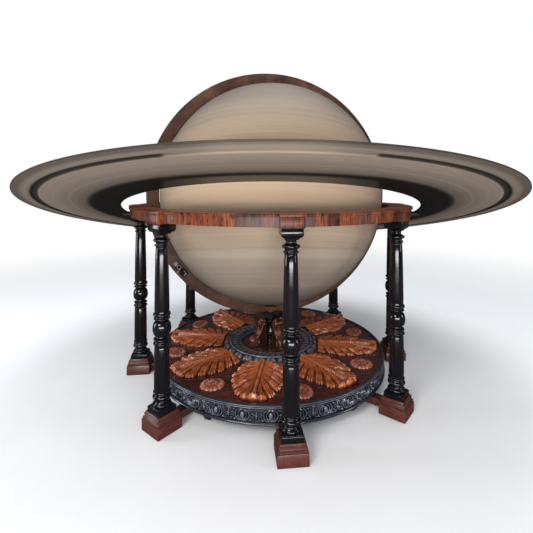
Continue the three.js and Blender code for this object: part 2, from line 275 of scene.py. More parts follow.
def petal(m, C, S, N, w, H, thick=2.5, groove=0.5, ribs=0, teeth=0, tooth=0.16, nv=15, cup=0.0, mat=0, place=None, **att):
    """A carved leaf lobe: C centre line, S side vectors, N upward vectors, w half widths, H crown heights (one per point)."""
    C, S, N = (np.asarray(a, float) for a in (C, S, N))
    n = len(C)
    t = np.linspace(0, 1, n)
    w = np.asarray(w, float)
    if teeth:
        saw = (t * teeth) % 1.0
        w = w * (1 - tooth + tooth * 1.3 * np.sin(math.pi * np.clip(saw, 0, 1)) ** 0.6)
    v = np.linspace(-1, 1, nv)
    crown = (1 - np.abs(v) ** 2.2) ** 0.8 + 0 * v
    crown = crown - groove * np.exp(-((v / 0.13) ** 2)) + cup * np.abs(v) ** 2
    if ribs:
        crown = crown + 0.13 * np.cos(v * math.pi * ribs) * (1 - v ** 2)
    topv = C[:, None] + S[:, None] * (w[:, None] * v)[..., None] + N[:, None] * (H[:, None] * crown)[..., None]
    vb = v[::-1][1:-1:2]
    bot = C[:, None] + S[:, None] * (w[:, None] * vb * 0.86)[..., None] - N[:, None] * np.full((n, len(vb)), thick)[..., None]
    P = np.concatenate([topv, bot], 1)
    k = P.shape[1]
    # cavity marks painted shade: highest in the groove and lowest parts of the crown, and full on the underside.
    cavity = np.concatenate([np.clip(1 - np.abs(crown - crown.min()) / (np.ptp(crown) + 1e-6), 0, 1), np.ones(len(vb))])
    V = P.reshape(-1, 3)
    first = C[0:1].repeat(k, 0)
    last = C[-1:].repeat(k, 0)
    V = np.concatenate([first, V, last])
    cav = np.concatenate([np.ones(k), np.tile(cavity, n), np.ones(k)])
    tt = np.concatenate([np.zeros(k), np.repeat(t, k), np.ones(k)])
    m.add(V if place is None else place(V), [grid_faces(n + 2, k, cv=True)], mat, cav=cav, along=tt, lx=V[:, 0], ly=V[:, 1], lz=V[:, 2], **att)
    return m


def bezier(p0, p1, p2, n):
    t = np.linspace(0, 1, n)[:, None]
    p0, p1, p2 = (np.asarray(p, float) for p in (p0, p1, p2))
    return (1 - t) ** 2 * p0 + 2 * t * (1 - t) * p1 + t ** 2 * p2


# ---- materials ----
class Nodes:
    def __init__(self, name):
        self.m = bpy.data.materials.new(name)
        self.m.use_nodes = True
        self.t = self.m.node_tree
        self.t.nodes.clear()
        self.out = self.t.nodes.new("ShaderNodeOutputMaterial")
        self.p = self.t.nodes.new("ShaderNodeBsdfPrincipled")
        self.t.links.new(self.p.outputs[0], self.out.inputs[0])
        self.tc = None

    def put(self, sock, val):
        if hasattr(val, "links") or isinstance(val, bpy.types.NodeSocket):
            self.t.links.new(val, sock)
        elif isinstance(val, (tuple, list)):
            sock.default_value = (*val, 1.0) if len(val) == 3 and len(sock.default_value) == 4 else tuple(val)
        else:
            sock.default_value = val

    def set(self, **kw):
        for k, v in kw.items():
            self.put(self.p.inputs[k.replace("_", " ")], v)
        return self

    def coord(self, kind="Object"):
        if self.tc is None:
            self.tc = self.t.nodes.new("ShaderNodeTexCoord")
        return self.tc.outputs[kind]

    def attr(self, name, vec=False):
        a = self.t.nodes.new("ShaderNodeAttribute")
        a.attribute_name = name
        return a.outputs["Vector" if vec else "Fac"]

    def vec(self, x, y, z):
        c = self.t.nodes.new("ShaderNodeCombineXYZ")
        for s, v in zip(c.inputs, (x, y, z)):
            self.put(s, v)
        return c.outputs[0]

    def mapping(self, v, scale=(1, 1, 1), rot=(0, 0, 0), loc=(0, 0, 0)):
        n = self.t.nodes.new("ShaderNodeMapping")
        self.put(n.inputs[0], v)
        n.inputs["Scale"].default_value = scale
        n.inputs["Rotation"].default_value = rot
        n.inputs["Location"].default_value = loc
        return n.outputs[0]

    def noise(self, v, scale=5, detail=4, rough=0.55, dist=0.0):
        n = self.t.nodes.new("ShaderNodeTexNoise")
        self.put(n.inputs["Vector"], v)
        self.put(n.inputs["Scale"], scale)
        n.inputs["Detail"].default_value = detail
        n.inputs["Roughness"].default_value = rough
        n.inputs["Distortion"].default_value = dist
        return n.outputs["Fac"]

    def noise1(self, w, scale=5, detail=4, rough=0.55):
        n = self.t.nodes.new("ShaderNodeTexNoise")
        n.noise_dimensions = "1D"
        self.put(n.inputs["W"], w)
        n.inputs["Scale"].default_value = scale
        n.inputs["Detail"].default_value = detail
        n.inputs["Roughness"].default_value = rough
        return n.outputs["Fac"]

    def math(self, op, a, b=0.0, c=None, clamp=False):
        n = self.t.nodes.new("ShaderNodeMath")
        n.operation = op
        n.use_clamp = clamp
        self.put(n.inputs[0], a)
        self.put(n.inputs[1], b)
        if c is not None:
            self.put(n.inputs[2], c)
        return n.outputs[0]

    def map(self, v, a, b, c=0.0, d=1.0, smooth=False):
        n = self.t.nodes.new("ShaderNodeMapRange")
        n.interpolation_type = "SMOOTHSTEP" if smooth else "LINEAR"
        self.put(n.inputs[0], v)
        for i, x in enumerate((a, b, c, d)):
            n.inputs[i + 1].default_value = x
        return n.outputs[0]

    def ramp(self, v, stops, mode="LINEAR"):
        n = self.t.nodes.new("ShaderNodeValToRGB")
        self.put(n.inputs[0], v)
        r = n.color_ramp
        r.interpolation = mode
        r.elements[0].position, r.elements[1].position = stops[0][0], stops[-1][0]
        r.elements[0].color, r.elements[1].color = (*stops[0][1], 1.0), (*stops[-1][1], 1.0)
        for pos, col in stops[1:-1]:
            r.elements.new(pos).color = (*col, 1.0)
        return n.outputs[0]

    def mix(self, f, a, b, blend="MIX"):
        n = self.t.nodes.new("ShaderNodeMix")
        n.data_type = "RGBA"
        n.blend_type = blend
        n.clamp_result = False
        self.put(n.inputs[0], f)
        self.put(n.inputs[6], a)
        self.put(n.inputs[7], b)
        return n.outputs[2]

    def bump(self, h, strength=0.3, distance=0.001, normal=None):
        n = self.t.nodes.new("ShaderNodeBump")
        n.inputs["Strength"].default_value = strength
        n.inputs["Distance"].default_value = distance
        self.put(n.inputs["Height"], h)
        if normal is not None:
            self.put(n.inputs["Normal"], normal)
        return n.outputs[0]

    def round_edges(self, radius=0.001):
        n = self.t.nodes.new("ShaderNodeBevel")
        n.samples = 4
        n.inputs[0].default_value = radius
        return n.outputs[0]

    def ao(self, distance=0.02, samples=6):
        n = self.t.nodes.new("ShaderNodeAmbientOcclusion")
        n.samples = samples
        n.inputs["Distance"].default_value = distance
        return n.outputs["AO"]

    def pointy(self):
        g = self.t.nodes.new("ShaderNodeNewGeometry")
        return g.outputs["Pointiness"]

    def facing(self, blend=0.5):
        n = self.t.nodes.new("ShaderNodeLayerWeight")
        n.inputs[0].default_value = blend
        return n.outputs["Facing"]


def s2l(r, g, b):
    return tuple(((c / 255 + 0.055) / 1.055) ** 2.4 if c / 255 > 0.04045 else c / 255 / 12.92 for c in (r, g, b))


def ebony(name, tint=(24, 23, 26), wear_and_highlight=(70, 52, 46), rough=0.2, coat=0.5, bump=0.15, carved=False):
    k = Nodes(name)
    co = k.coord()
    grain = k.noise(k.mapping(co, (60, 60, 5)), 3.0, 5, 0.6, 0.4)
    cloud = k.noise(co, 14, 4, 0.6)
    base = k.mix(k.map(grain, 0.35, 0.7), s2l(*tint), s2l(*(min(255, c + 10) for c in tint)))
    if carved:
        # On carved work the light second colour is a painted highlight: it is laid on sharp ridges, beads and raised
        # relief (pointiness and the rel mask).
        edge = k.math("MAXIMUM", k.map(k.pointy(), 0.53, 0.60), k.map(k.attr("rel"), 0.05, 0.75, 0.0, 0.8))
        edge = k.math("MULTIPLY", edge, k.map(cloud, 0.3, 0.7, 0.45, 1.0), clamp=True)
        base = k.mix(k.math("MULTIPLY", edge, 0.8), base, s2l(*wear_and_highlight))
        # Painted shade: the sunk ground of the carving (rel below zero) is painted near black.
        base = k.mix(k.map(k.attr("rel"), -0.35, 0.0, 0.8, 0.0), base, s2l(8, 8, 9))
    else:
        # On turned work the light second colour is real wear, in random patches.
        base = k.mix(k.math("MULTIPLY", k.map(k.noise(co, 35, 5, 0.7), 0.60, 0.74), 0.22), base, s2l(*wear_and_highlight))
    if carved:
        # Painted shade: carved hollows and creases are darkened from the ambient occlusion measure.
        base = k.mix(k.map(k.ao(0.012), 0.2, 0.85, 1.0, 0.0), base, s2l(9, 8, 9))
    k.set(Base_Color=base, Roughness=k.map(cloud, 0.3, 0.7, rough, rough + 0.14), Coat_Weight=coat, Coat_Roughness=0.10, Specular_IOR_Level=0.45)
    k.set(Normal=k.bump(grain, bump, 0.0006))
    return k.m


def mahogany(name, light=(118, 60, 48), dark=(44, 18, 15), axis="lx", rough=0.28):
    k = Nodes(name)
    L = k.vec(k.attr("lx"), k.attr("ly"), k.attr("lz"))
    s = (0.004, 0.06, 0.06) if axis == "lx" else (0.06, 0.06, 0.004)
    fibre = k.noise(k.mapping(L, s), 9, 6, 0.62, 0.5)
    flame = k.noise(k.mapping(L, (s[0] * 1.5, s[1] * 0.35, s[2] * 0.35)), 5, 3, 0.5, 1.2)
    base = k.ramp(k.math("ADD", k.math("MULTIPLY", fibre, 0.55), k.math("MULTIPLY", flame, 0.45)), [(0.30, s2l(*dark)), (0.5, s2l(*(int((a + b) / 2) for a, b in zip(light, dark)))), (0.68, s2l(*light))])
    # Painted shade: darker in corners and under mouldings, from the ambient occlusion measure.
    base = k.mix(k.map(k.ao(0.02), 0.3, 0.9, 0.75, 0.0), base, s2l(26, 12, 10))
    k.set(Base_Color=base, Roughness=k.map(fibre, 0.3, 0.7, rough, rough + 0.15), Coat_Weight=0.45, Coat_Roughness=0.15)
    k.set(Normal=k.bump(fibre, 0.18, 0.0006))
    return k.m


def carved_wood(name, light, mid, dark, wax=0.35, edges=0.45):
    k = Nodes(name)
    L = k.vec(k.attr("lx"), k.attr("ly"), k.attr("lz"))
    fibre = k.noise(k.mapping(L, (0.02, 0.11, 0.11)), 6, 6, 0.6, 0.4)
    blot = k.noise(L, 0.035, 4, 0.6)
    base = k.ramp(k.math("ADD", k.math("MULTIPLY", fibre, 0.6), k.math("MULTIPLY", blot, 0.4)), [(0.32, s2l(*mid)), (0.62, s2l(*light))])
    # Painted shade: hollows are laid in the dark colour, from ambient occlusion, from the mesh's cav mask and, where
    # edges is on, from concave pointiness.
    cav = k.math("MAXIMUM", k.map(k.ao(0.012, 8), 0.15, 0.80, 1.0, 0.0), k.math("MULTIPLY", k.attr("cav"), 0.85))
    if edges > 0:
        cav = k.math("MAXIMUM", cav, k.map(k.pointy(), 0.42, 0.485, 1.0, 0.0))
    base = k.mix(k.math("MULTIPLY", cav, 0.88, clamp=True), base, s2l(*dark))
    # Painted highlight: sharp convex edges are lightened towards a pale pink glint.
    edge = k.map(k.pointy(), 0.53, 0.60)
    base = k.mix(k.math("MULTIPLY", edge, edges, clamp=True), base, s2l(230, 176, 150))
    k.set(Base_Color=base, Roughness=k.map(blot, 0.3, 0.7, 0.22, 0.38), Coat_Weight=wax, Coat_Roughness=0.16)
    k.set(Normal=k.bump(k.math("ADD", fibre, k.math("MULTIPLY", k.noise(L, 0.6, 3, 0.6), 0.7)), 0.3, 0.0008))
    return k.m


def metal(name, colour, rough=0.3, dark=(40, 34, 26), metallic=1.0, bevel=0.0008):
    k = Nodes(name)
    co = k.coord()
    n = k.noise(co, 60, 5, 0.6)
    b = k.noise(k.mapping(co, (500, 500, 30)), 2, 3, 0.6)
    base = k.mix(k.map(n, 0.35, 0.7), s2l(*colour), s2l(*(int(c * 0.72) for c in colour)))
    # Painted shade: darker in hollows and corners, from the ambient occlusion measure.
    base = k.mix(k.map(k.ao(0.01), 0.3, 0.9, 0.8, 0.0), base, s2l(*dark))
    k.set(Base_Color=base, Metallic=metallic, Roughness=k.map(n, 0.3, 0.7, rough, rough + 0.2))
    k.set(Normal=k.bump(b, 0.12, 0.0004, k.round_edges(bevel) if bevel else None))
    return k.m


M = {}
M["ebony"] = ebony("ebonised_turned", tint=(6, 6, 10), wear_and_highlight=(30, 23, 26), rough=0.10, coat=0.32, bump=0.02)
M["rim"] = ebony("ebonised_carved", tint=(27, 29, 37), wear_and_highlight=(124, 130, 148), rough=0.18, coat=0.7, carved=True)
M["boss"] = ebony("boss_carved", tint=(58, 57, 64), wear_and_highlight=(160, 156, 168), rough=0.22, coat=0.6, carved=True)
M["mahogany"] = mahogany("mahogany_block")
M["mahogany_beam"] = mahogany("mahogany_beam", light=(112, 58, 46), dark=(40, 17, 14))
M["leaf"] = carved_wood("carved_leaf", (206, 110, 60), (140, 66, 32), (20, 9, 6), wax=0.6)
M["rosette"] = carved_wood("carved_rosette", (168, 92, 66), (104, 52, 38), (26, 12, 9), wax=0.5)
M["console"] = carved_wood("carved_console", (116, 57, 32), (56, 27, 17), (6, 3, 2), wax=0.6, edges=0.0)
M["brass"] = metal("aged_brass", (96, 66, 45), 0.38, (22, 15, 11))
M["steel"] = metal("brushed_steel_dark", (150, 150, 152), 0.34, (40, 40, 42))
M["iron"] = metal("dull_iron", (96, 92, 88), 0.4, (24, 22, 20))
M["gun"] = metal("blackened_iron", (30, 27, 28), 0.36, (9, 8, 8))
M["bright"] = metal("worn_steel", (188, 172, 168), 0.3, (70, 58, 54))


def wheel_mat():
    k = Nodes("caster_tread")
    co = k.coord()
    n = k.noise(co, 90, 5, 0.6)
    k.set(Base_Color=k.mix(k.map(n, 0.3, 0.7), s2l(34, 31, 30), s2l(58, 53, 50)), Roughness=k.map(n, 0.3, 0.7, 0.45, 0.7), Normal=k.bump(n, 0.3, 0.0006))
    return k.m


M["wheel"] = wheel_mat()


def board_mat():
    k = Nodes("board_polish")
    co = k.coord()
    fib = k.noise(k.mapping(co, (3, 42, 3)), 3.2, 6, 0.62, 0.6)
    fl = k.noise(k.mapping(co, (2.0, 9, 2)), 2.4, 4, 0.55, 1.6)
    base = k.ramp(k.math("ADD", k.math("MULTIPLY", fib, 0.5), k.math("MULTIPLY", fl, 0.5)), [(0.33, s2l(34, 16, 16)), (0.5, s2l(72, 36, 32)), (0.66, s2l(112, 62, 52))])
    # Painted shade: darker where parts stand on the board and in corners, from the ambient occlusion measure.
    base = k.mix(k.map(k.ao(0.03, 8), 0.2, 0.95, 0.8, 0.0), base, s2l(16, 8, 8))
    k.set(Base_Color=base, Roughness=k.map(fib, 0.3, 0.7, 0.16, 0.3), Coat_Weight=0.6, Coat_Roughness=0.08, Normal=k.bump(fib, 0.08, 0.0005))
    return k.m


M["board"] = board_mat()


def veneer_mat():
    k = Nodes("figured_veneer")
    az, rad, z = k.attr("az"), k.attr("rad"), k.attr("lz")
    # strips of veneer laid upright round the ring, each a little different in hue
    strip = k.noise1(k.math("FLOOR", k.math("MULTIPLY", az, 15.0)), 3.7, 0, 0.5)
    g = k.vec(k.math("MULTIPLY", az, 40.0), k.math("MULTIPLY", rad, 0.003), k.math("MULTIPLY", z, 0.004))
    fib = k.noise(g, 3.6, 7, 0.72, 0.0)
    g2 = k.vec(k.math("MULTIPLY", az, 11.0), k.math("MULTIPLY", rad, 0.003), k.math("MULTIPLY", z, 0.006))
    dark = k.noise(g2, 4.0, 6, 0.66, 0.15)
    base = k.ramp(fib, [(0.30, s2l(50, 22, 13)), (0.46, s2l(106, 50, 25)), (0.60, s2l(150, 76, 36)), (0.76, s2l(180, 102, 54))])
    red = k.ramp(fib, [(0.30, s2l(32, 14, 11)), (0.5, s2l(76, 34, 22)), (0.72, s2l(116, 56, 36))])
    base = k.mix(k.map(strip, 0.42, 0.58), base, red)
    base = k.mix(k.map(dark, 0.52, 0.62, 0.0, 0.92), base, s2l(18, 9, 9))
    joint = k.math("ABSOLUTE", k.math("SUBTRACT", k.math("FRACT", k.math("MULTIPLY", az, 15.0)), 0.5))
    base = k.mix(k.math("MULTIPLY", k.map(joint, 0.482, 0.496), 0.85), base, s2l(14, 7, 6))
    k.set(Base_Color=base, Roughness=k.map(fib, 0.3, 0.7, 0.34, 0.5), Coat_Weight=0.12, Coat_Roughness=0.2, Specular_IOR_Level=0.3, Normal=k.bump(fib, 0.08, 0.0005))
    return k.m


M["veneer"] = veneer_mat()


def ring_wood_mat():
    k = Nodes("worn_ring_wood")
    az, rad, ly = k.attr("az"), k.attr("rad"), k.attr("ly")
    g = k.vec(k.math("MULTIPLY", az, 5.0), k.math("MULTIPLY", rad, 0.10), k.math("MULTIPLY", ly, 0.10))
    fib = k.noise(g, 2.4, 6, 0.66, 0.5)
    blot = k.noise(k.coord(), 9, 5, 0.62)
    v = k.math("ADD", k.math("MULTIPLY", fib, 0.5), k.math("MULTIPLY", blot, 0.5))
    base = k.ramp(v, [(0.33, s2l(34, 20, 15)), (0.47, s2l(64, 39, 28)), (0.58, s2l(88, 57, 41)), (0.70, s2l(116, 80, 59))])
    base = k.mix(k.map(k.noise(k.coord(), 55, 4, 0.7), 0.6, 0.72), base, s2l(56, 36, 28))
    k.set(Base_Color=base, Roughness=k.map(blot, 0.3, 0.7, 0.5, 0.68), Specular_IOR_Level=0.25, Normal=k.bump(v, 0.2, 0.0008))
    return k.m


M["ring_wood"] = ring_wood_mat()

# latitude (as sine, -1 south to 1 north) against the tone of the painted bands
GLOBE_BANDS = [
    (-1.00, (104, 98, 92)), (-0.87, (120, 112, 103)), (-0.82, (136, 124, 111)), (-0.76, (134, 122, 109)), (-0.70, (137, 126, 114)),
    (-0.655, (139, 127, 114)), (-0.615, (150, 138, 124)), (-0.585, (158, 143, 128)), (-0.555, (152, 136, 119)), (-0.53, (151, 134, 115)), (-0.49, (158, 139, 118)),
    (-0.44, (163, 144, 123)), (-0.26, (147, 125, 102)), (-0.195, (158, 134, 110)), (-0.165, (165, 142, 117)),
    (-0.10, (168, 144, 119)), (0.00, (170, 146, 120)), (0.10, (160, 138, 114)), (0.19, (148, 127, 104)), (0.23, (160, 139, 116)),
    (0.335, (158, 138, 117)), (0.365, (153, 134, 114)), (0.41, (146, 129, 111)), (0.47, (143, 128, 112)), (0.54, (136, 123, 110)), (0.60, (128, 117, 104)),
    (0.68, (122, 111, 101)), (0.76, (122, 112, 102)), (0.88, (118, 109, 100)), (1.00, (112, 104, 97)),
]


def globe_mat():
    k = Nodes("painted_planet")
    lat = k.attr("lat")
    wob = k.noise(k.mapping(k.coord(), (1.2, 1.2, 7.0)), 2.0, 4, 0.6, 0.4)
    l2 = k.math("ADD", lat, k.map(wob, 0.3, 0.7, -0.010, 0.010))
    base = k.ramp(k.map(l2, -1.0, 1.0), [((a + 1) / 2, s2l(*c)) for a, c in GLOBE_BANDS])
    fine = k.noise1(l2, 34, 5, 0.65)
    base = k.mix(k.map(fine, 0.35, 0.65, 0.0, 0.22), base, s2l(112, 95, 78))
    soft = k.noise(k.mapping(k.coord(), (1.0, 1.0, 5.0)), 4.0, 3, 0.5, 0.6)
    base = k.mix(k.map(soft, 0.4, 0.7, 0.0, 0.10), base, s2l(180, 158, 132))
    # Painted shade: the globe is painted darker towards its outline, where its surface turns away from the view.
    limb = k.map(k.facing(0.5), 0.30, 0.98, 0.0, 1.0)
    base = k.mix(k.math("MULTIPLY", k.math("POWER", limb, 2.0), 0.62), base, s2l(70, 66, 62), "MIX")
    k.set(Base_Color=base, Roughness=k.map(fine, 0.3, 0.7, 0.62, 0.72), Specular_IOR_Level=0.25, Normal=k.bump(k.noise(k.coord(), 220, 3, 0.6), 0.06, 0.0004))
    return k.m


M["globe"] = globe_mat()

# distance across the flat ring (0 inner edge, 1 outer edge) against its tone
DISC_BANDS = [
    (0.00, (9, 9, 9)), (0.27, (13, 12, 12)), (0.31, (24, 22, 21)), (0.345, (76, 70, 65)), (0.366, (108, 98, 89)), (0.40, (103, 93, 85)),
    (0.44, (109, 99, 90)), (0.48, (120, 110, 100)), (0.52, (126, 115, 105)), (0.60, (133, 121, 110)), (0.66, (139, 126, 115)), (0.72, (139, 127, 116)),
    (0.775, (146, 133, 120)), (0.788, (30, 27, 25)), (0.838, (15, 14, 14)), (0.850, (70, 66, 62)), (0.868, (128, 119, 109)), (0.89, (125, 116, 107)),
    (0.91, (112, 104, 96)), (0.95, (102, 94, 86)), (0.985, (99, 91, 84)), (0.994, (84, 78, 72)), (1.00, (20, 19, 18)),
]
# the same, where the ring crosses in front of the globe: the gap and the inner veil are painted pale there
FRONT_BANDS = [
    (0.00, (104, 91, 79)), (0.17, (100, 87, 76)), (0.21, (74, 64, 56)), (0.235, (24, 22, 21)), (0.275, (26, 24, 22)), (0.31, (84, 74, 66)), (0.36, (110, 98, 87)),
    (0.46, (120, 107, 95)), (0.56, (131, 118, 105)), (0.66, (139, 126, 114)), (0.74, (148, 135, 122)), (0.775, (152, 138, 124)), (0.79, (178, 158, 138)), (0.835, (176, 157, 137)),
    (0.85, (150, 139, 127)), (0.90, (146, 137, 126)), (0.94, (142, 131, 119)), (0.98, (130, 119, 108)), (1.00, (60, 54, 48)),
]
# and where it passes the globe's edge, shaded like the globe's own limb
LIMB_BANDS = [
    (0.00, (60, 53, 47)), (0.17, (57, 50, 45)), (0.21, (45, 40, 36)), (0.235, (18, 17, 16)), (0.275, (20, 19, 18)), (0.31, (44, 40, 36)), (0.36, (104, 95, 86)),
    (0.46, (115, 105, 95)), (0.56, (129, 117, 106)), (0.66, (139, 126, 115)), (0.74, (142, 129, 117)), (0.775, (145, 132, 120)), (0.79, (131, 120, 109)), (0.835, (128, 117, 107)),
    (0.85, (126, 117, 107)), (0.90, (119, 110, 101)), (0.94, (106, 98, 90)), (0.98, (100, 92, 84)), (1.00, (26, 24, 22)),
]


def disc_mat():
    k = Nodes("banded_ring_paint")
    u = k.attr("across")
    base = k.ramp(u, [(a, s2l(*c)) for a, c in DISC_BANDS])
    fine = k.noise1(u, 58, 6, 0.74)
    fine2 = k.noise1(u, 15, 3, 0.6)
    sep = k.t.nodes.new("ShaderNodeSeparateXYZ")
    k.put(sep.inputs[0], k.coord())
    wedge = k.math("DIVIDE", k.math("ABSOLUTE", sep.outputs[0]), k.math("ADD", sep.outputs[1], 1.87))
    near = k.map(sep.outputs[1], -0.2, -0.1, 1.0, 0.0)
    face = k.mix(k.map(wedge, 0.10, 0.30, 1.0, 0.0, True), k.ramp(u, [(a, s2l(*c)) for a, c in LIMB_BANDS]), k.ramp(u, [(a, s2l(*c)) for a, c in FRONT_BANDS]))
    base = k.mix(k.math("MULTIPLY", k.map(wedge, 0.288, 0.308, 1.0, 0.0, True), near), base, face)
    base = k.mix(k.map(fine, 0.3, 0.7, 0.30, 0.0), base, s2l(52, 47, 43))
    base = k.mix(k.math("MULTIPLY", k.map(fine2, 0.4, 0.7, 0.0, 0.16), k.map(u, 0.34, 0.40)), base, s2l(176, 158, 140))
    k.set(Base_Color=base, Roughness=k.map(fine, 0.3, 0.7, 0.6, 0.74), Specular_IOR_Level=0.15, Normal=k.bump(fine, 0.08, 0.0005))
    return k.m


M["disc"] = disc_mat()


def piece(o, body, slot, *nodes):
    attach(o, body)
    if nodes:
        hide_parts(*nodes)
    return o


# ---- columns ----
z = HZ
def ball(z0, z1, r_end, r_max, n=20):
    t = np.linspace(0, math.pi, n)
    return [(r_end + (r_max - r_end) * math.sin(x) ** 0.9, (z0 + z1) / 2 - (z1 - z0) / 2 * math.cos(x)) for x in t]


SHAFT = profile(
    (0.01, 89 + z), (30, 89 + z), (30.6, 91 + z), *ball(91.5 + z, 102.5 + z, 29.6, 34.2, 9), (28.4, 103.5 + z), (27.6, 105 + z), (24.6, 113.5 + z, -0.5), (26.4, 117.5 + z),
    *ball(118.5 + z, 132.5 + z, 28.0, 34.2, 11), (28.2, 134 + z), (27.4, 139.5 + z, -0.3), *ball(140.5 + z, 146.5 + z, 29.2, 32.2, 7), (29.2, 148 + z),
    (29.4, 160 + z, -0.1), (29.2, 200 + z), (28.6, 260 + z), (27.8, 306 + z), (28.4, 318 + z, -0.25), *ball(319.5 + z, 326 + z, 28.8, 32.2, 7), (27.0, 327.5 + z),
    (26.4, 332 + z, -0.4), (27.4, 334.5 + z), *ball(335.5 + z, 342 + z, 27.6, 31.2, 7), (24.0, 343.5 + z), (19.6, 350 + z, -0.4),
    *ball(351 + z, 406.5 + z, 20.0, 34.4, 24), (21.6, 408 + z), (23.6, 411.5 + z, -0.4), *ball(412.5 + z, 418.5 + z, 26.6, 30.4, 7), (25.4, 420 + z), (25.0, 424 + z, -0.5),
    *ball(425.5 + z, 437.5 + z, 27.2, 32.4, 10), (27.8, 439 + z), (27.6, 452 + z, -0.1), (27.0, 500 + z), (25.8, 570 + z), (24.2, 640 + z), (23.0, 678 + z),
    (23.6, 686 + z, -0.3), *ball(687.5 + z, 693.5 + z, 24.4, 27.2, 7), (22.8, 694.5 + z), (22.6, 699 + z, -0.3), (25.0, 702.5 + z, -0.4),
    *ball(703.5 + z, 716 + z, 26.4, 31.6, 10), (22.5, 717 + z), (19.6, 720 + z), (19.0, 728 + z, -0.25), (22.4, 735 + z, -0.3), (24.4, 736 + z), (0.01, 736.2 + z),
)
PLINTH = profile((0.01, FOOT_H + 0.3), (37.4, FOOT_H + 0.3), (38, FOOT_H + 0.9), (38, 86.6), (37.6, 87.6), (35.2, 88.2), (34.2, 90.8, -0.6), (33.4, 91), (0.01, 91.2))
ABACUS = profile(
    (0.01, 733.5 + z), (24.0, 733.5 + z), (24.5, 735.5 + z), (28.0, 740.5 + z, -0.35), (34.2, 744.4 + z, 0.45), (34.8, 745.6 + z), (36.8, 746.4 + z), (37.5, 747.6 + z),
    (37.5, HOR_BOT - 0.9), (37.0, HOR_BOT - 0.3), (0.01, HOR_BOT - 0.3),
)
for c in range(8):
    m = Mesh()
    put = at(COL_A0 + 45 * c, COL_R)
    o = put(np.zeros((1, 3)))[0]
    lathe(m, SHAFT, 72, centre=o)
    stack(m, PLINTH, 1.4, place=put)
    stack(m, ABACUS, 1.4, place=put)
    piece(m.make(f"turned_column_{c + 1}", M["ebony"], 40), "stand", "ebonised_wood", f"column_{c + 1}")

# ---- foot blocks and stretcher ----
FOOT = profile(
    (0.01, 0), (52.2, 0), (53, 0.8), (53, 40.6), (52.4, 41.8), (50.6, 42.2), (49.6, 42.6), (49.2, 45.5), (50.4, 46.3), (50.6, 49.4), (49.8, 50.4),
    (48.4, 50.8), (46.0, 58.2, -0.5), (45.4, 59.2), (46.6, 59.8), (46.8, 62.6), (46.0, 63.6), (44.0, 64.2), (42.8, 68.8, -0.4), (42.2, FOOT_H), (0.01, FOOT_H),
)
for c in range(8):
    m = Mesh()
    stack(m, FOOT, 1.2, place=at(COL_A0 + 45 * c, COL_R))
    o = m.make(f"stepped_foot_{c + 1}", M["mahogany"], 30)
    o.location = (0, 0, 0)
    piece(o, "stand", "mahogany", f"foot_block_{c + 1}")

m = Mesh()
for c in range(8):
    rounded_box(m, 70, COL_R - 53.3, -22, 22, BEAM_Z0, BEAM_Z1, 2.0, place=at(COL_A0 + 45 * c))
lathe(m, profile((0.01, BEAM_Z0 - 0.2), (90, BEAM_Z0 - 0.2), (92, BEAM_Z0 + 1.8), (92, BEAM_Z1 - 1.8), (90, BEAM_Z1 + 0.2), (0.01, BEAM_Z1 + 0.2)), 64, lx=0, ly=0, lz=0)
piece(m.make("star_stretcher", M["mahogany_beam"], 30), "stand", "mahogany", "stretcher_spider")

# ---- horizon ring: inner band with the two notches, outer band, top edge, and a block over each column ----
m = Mesh()
NOTCH = 13.6 / 600


def ring_band(m, prof, seg, gap=None):
    if gap is None:
        lathe(m, prof, seg, closed=True, lz=0)
        return
    for s in (0, 180):
        a0 = math.radians(RING_TURN + s) + gap
        a1 = math.radians(RING_TURN + s + 180) - gap
        n0 = m.n
        lathe(m, prof, seg // 2, closed=True, a0=a0, a1=a1, lz=0)
        k = len(prof)
        last = n0 + (seg // 2) * k
        m.f.append(np.array([list(range(n0, n0 + k))]))
        m.mi.append(np.zeros(1, int))
        m.f.append(np.array([list(range(last + k - 1, last - 1, -1))]))
        m.mi.append(np.zeros(1, int))


SPLIT = MER_RO + 4
ring_band(m, profile((HOR_RI, HOR_BOT + 4), (HOR_RI + 1, HOR_BOT + 3), (SPLIT, HOR_BOT + 3), (SPLIT, HOR_TOP - 0.05), (HOR_RI + 1.5, HOR_TOP - 0.05), (HOR_RI, HOR_TOP - 1.5)), 240, NOTCH)
ring_band(
    m,
    profile(
        (SPLIT, HOR_BOT + 3), (HOR_RO - 8, HOR_BOT + 3), (HOR_RO - 7, HOR_BOT + 4), (HOR_RO - 7, HOR_TOP - 12), (HOR_RO - 5.5, HOR_TOP - 10.6), (HOR_RO - 1, HOR_TOP - 10.4),
        (HOR_RO, HOR_TOP - 9.4), (HOR_RO, HOR_TOP - 2.2), (HOR_RO - 0.8, HOR_TOP - 0.7), (HOR_RO - 2.2, HOR_TOP), (SPLIT, HOR_TOP),
    ),
    288,
)
for c in range(8):
    put = at(COL_A0 + 45 * c)
    a_c = math.radians(COL_A0 + 45 * c - 90)
    for x0, x1, w, z0, z1 in ((630, BLOCK_RO - 4, BLOCK_W / 2, HOR_BOT, HOR_TOP - 11.4), (626, BLOCK_RO, BLOCK_W / 2 + 2.6, HOR_TOP - 11, HOR_TOP + 0.25)):
        b = Mesh()
        rounded_box(b, x0, x1, -w, w, z0, z1, 1.4, place=put)
        V = np.concatenate(b.v)
        loc = np.concatenate(b.att["ly"])
        zz = V[:, 2]
        m.add(V, [np.concatenate(b.f)], 0, az=a_c + loc / 690, rad=np.hypot(V[:, 0], V[:, 1]), lz=zz)
for i, part in enumerate(m.v):
    m.att["lz"][i] = part[:, 2].copy()
piece(m.make("veneered_horizon", M["veneer"], 30), "stand", "veneer", "horizon_ring")

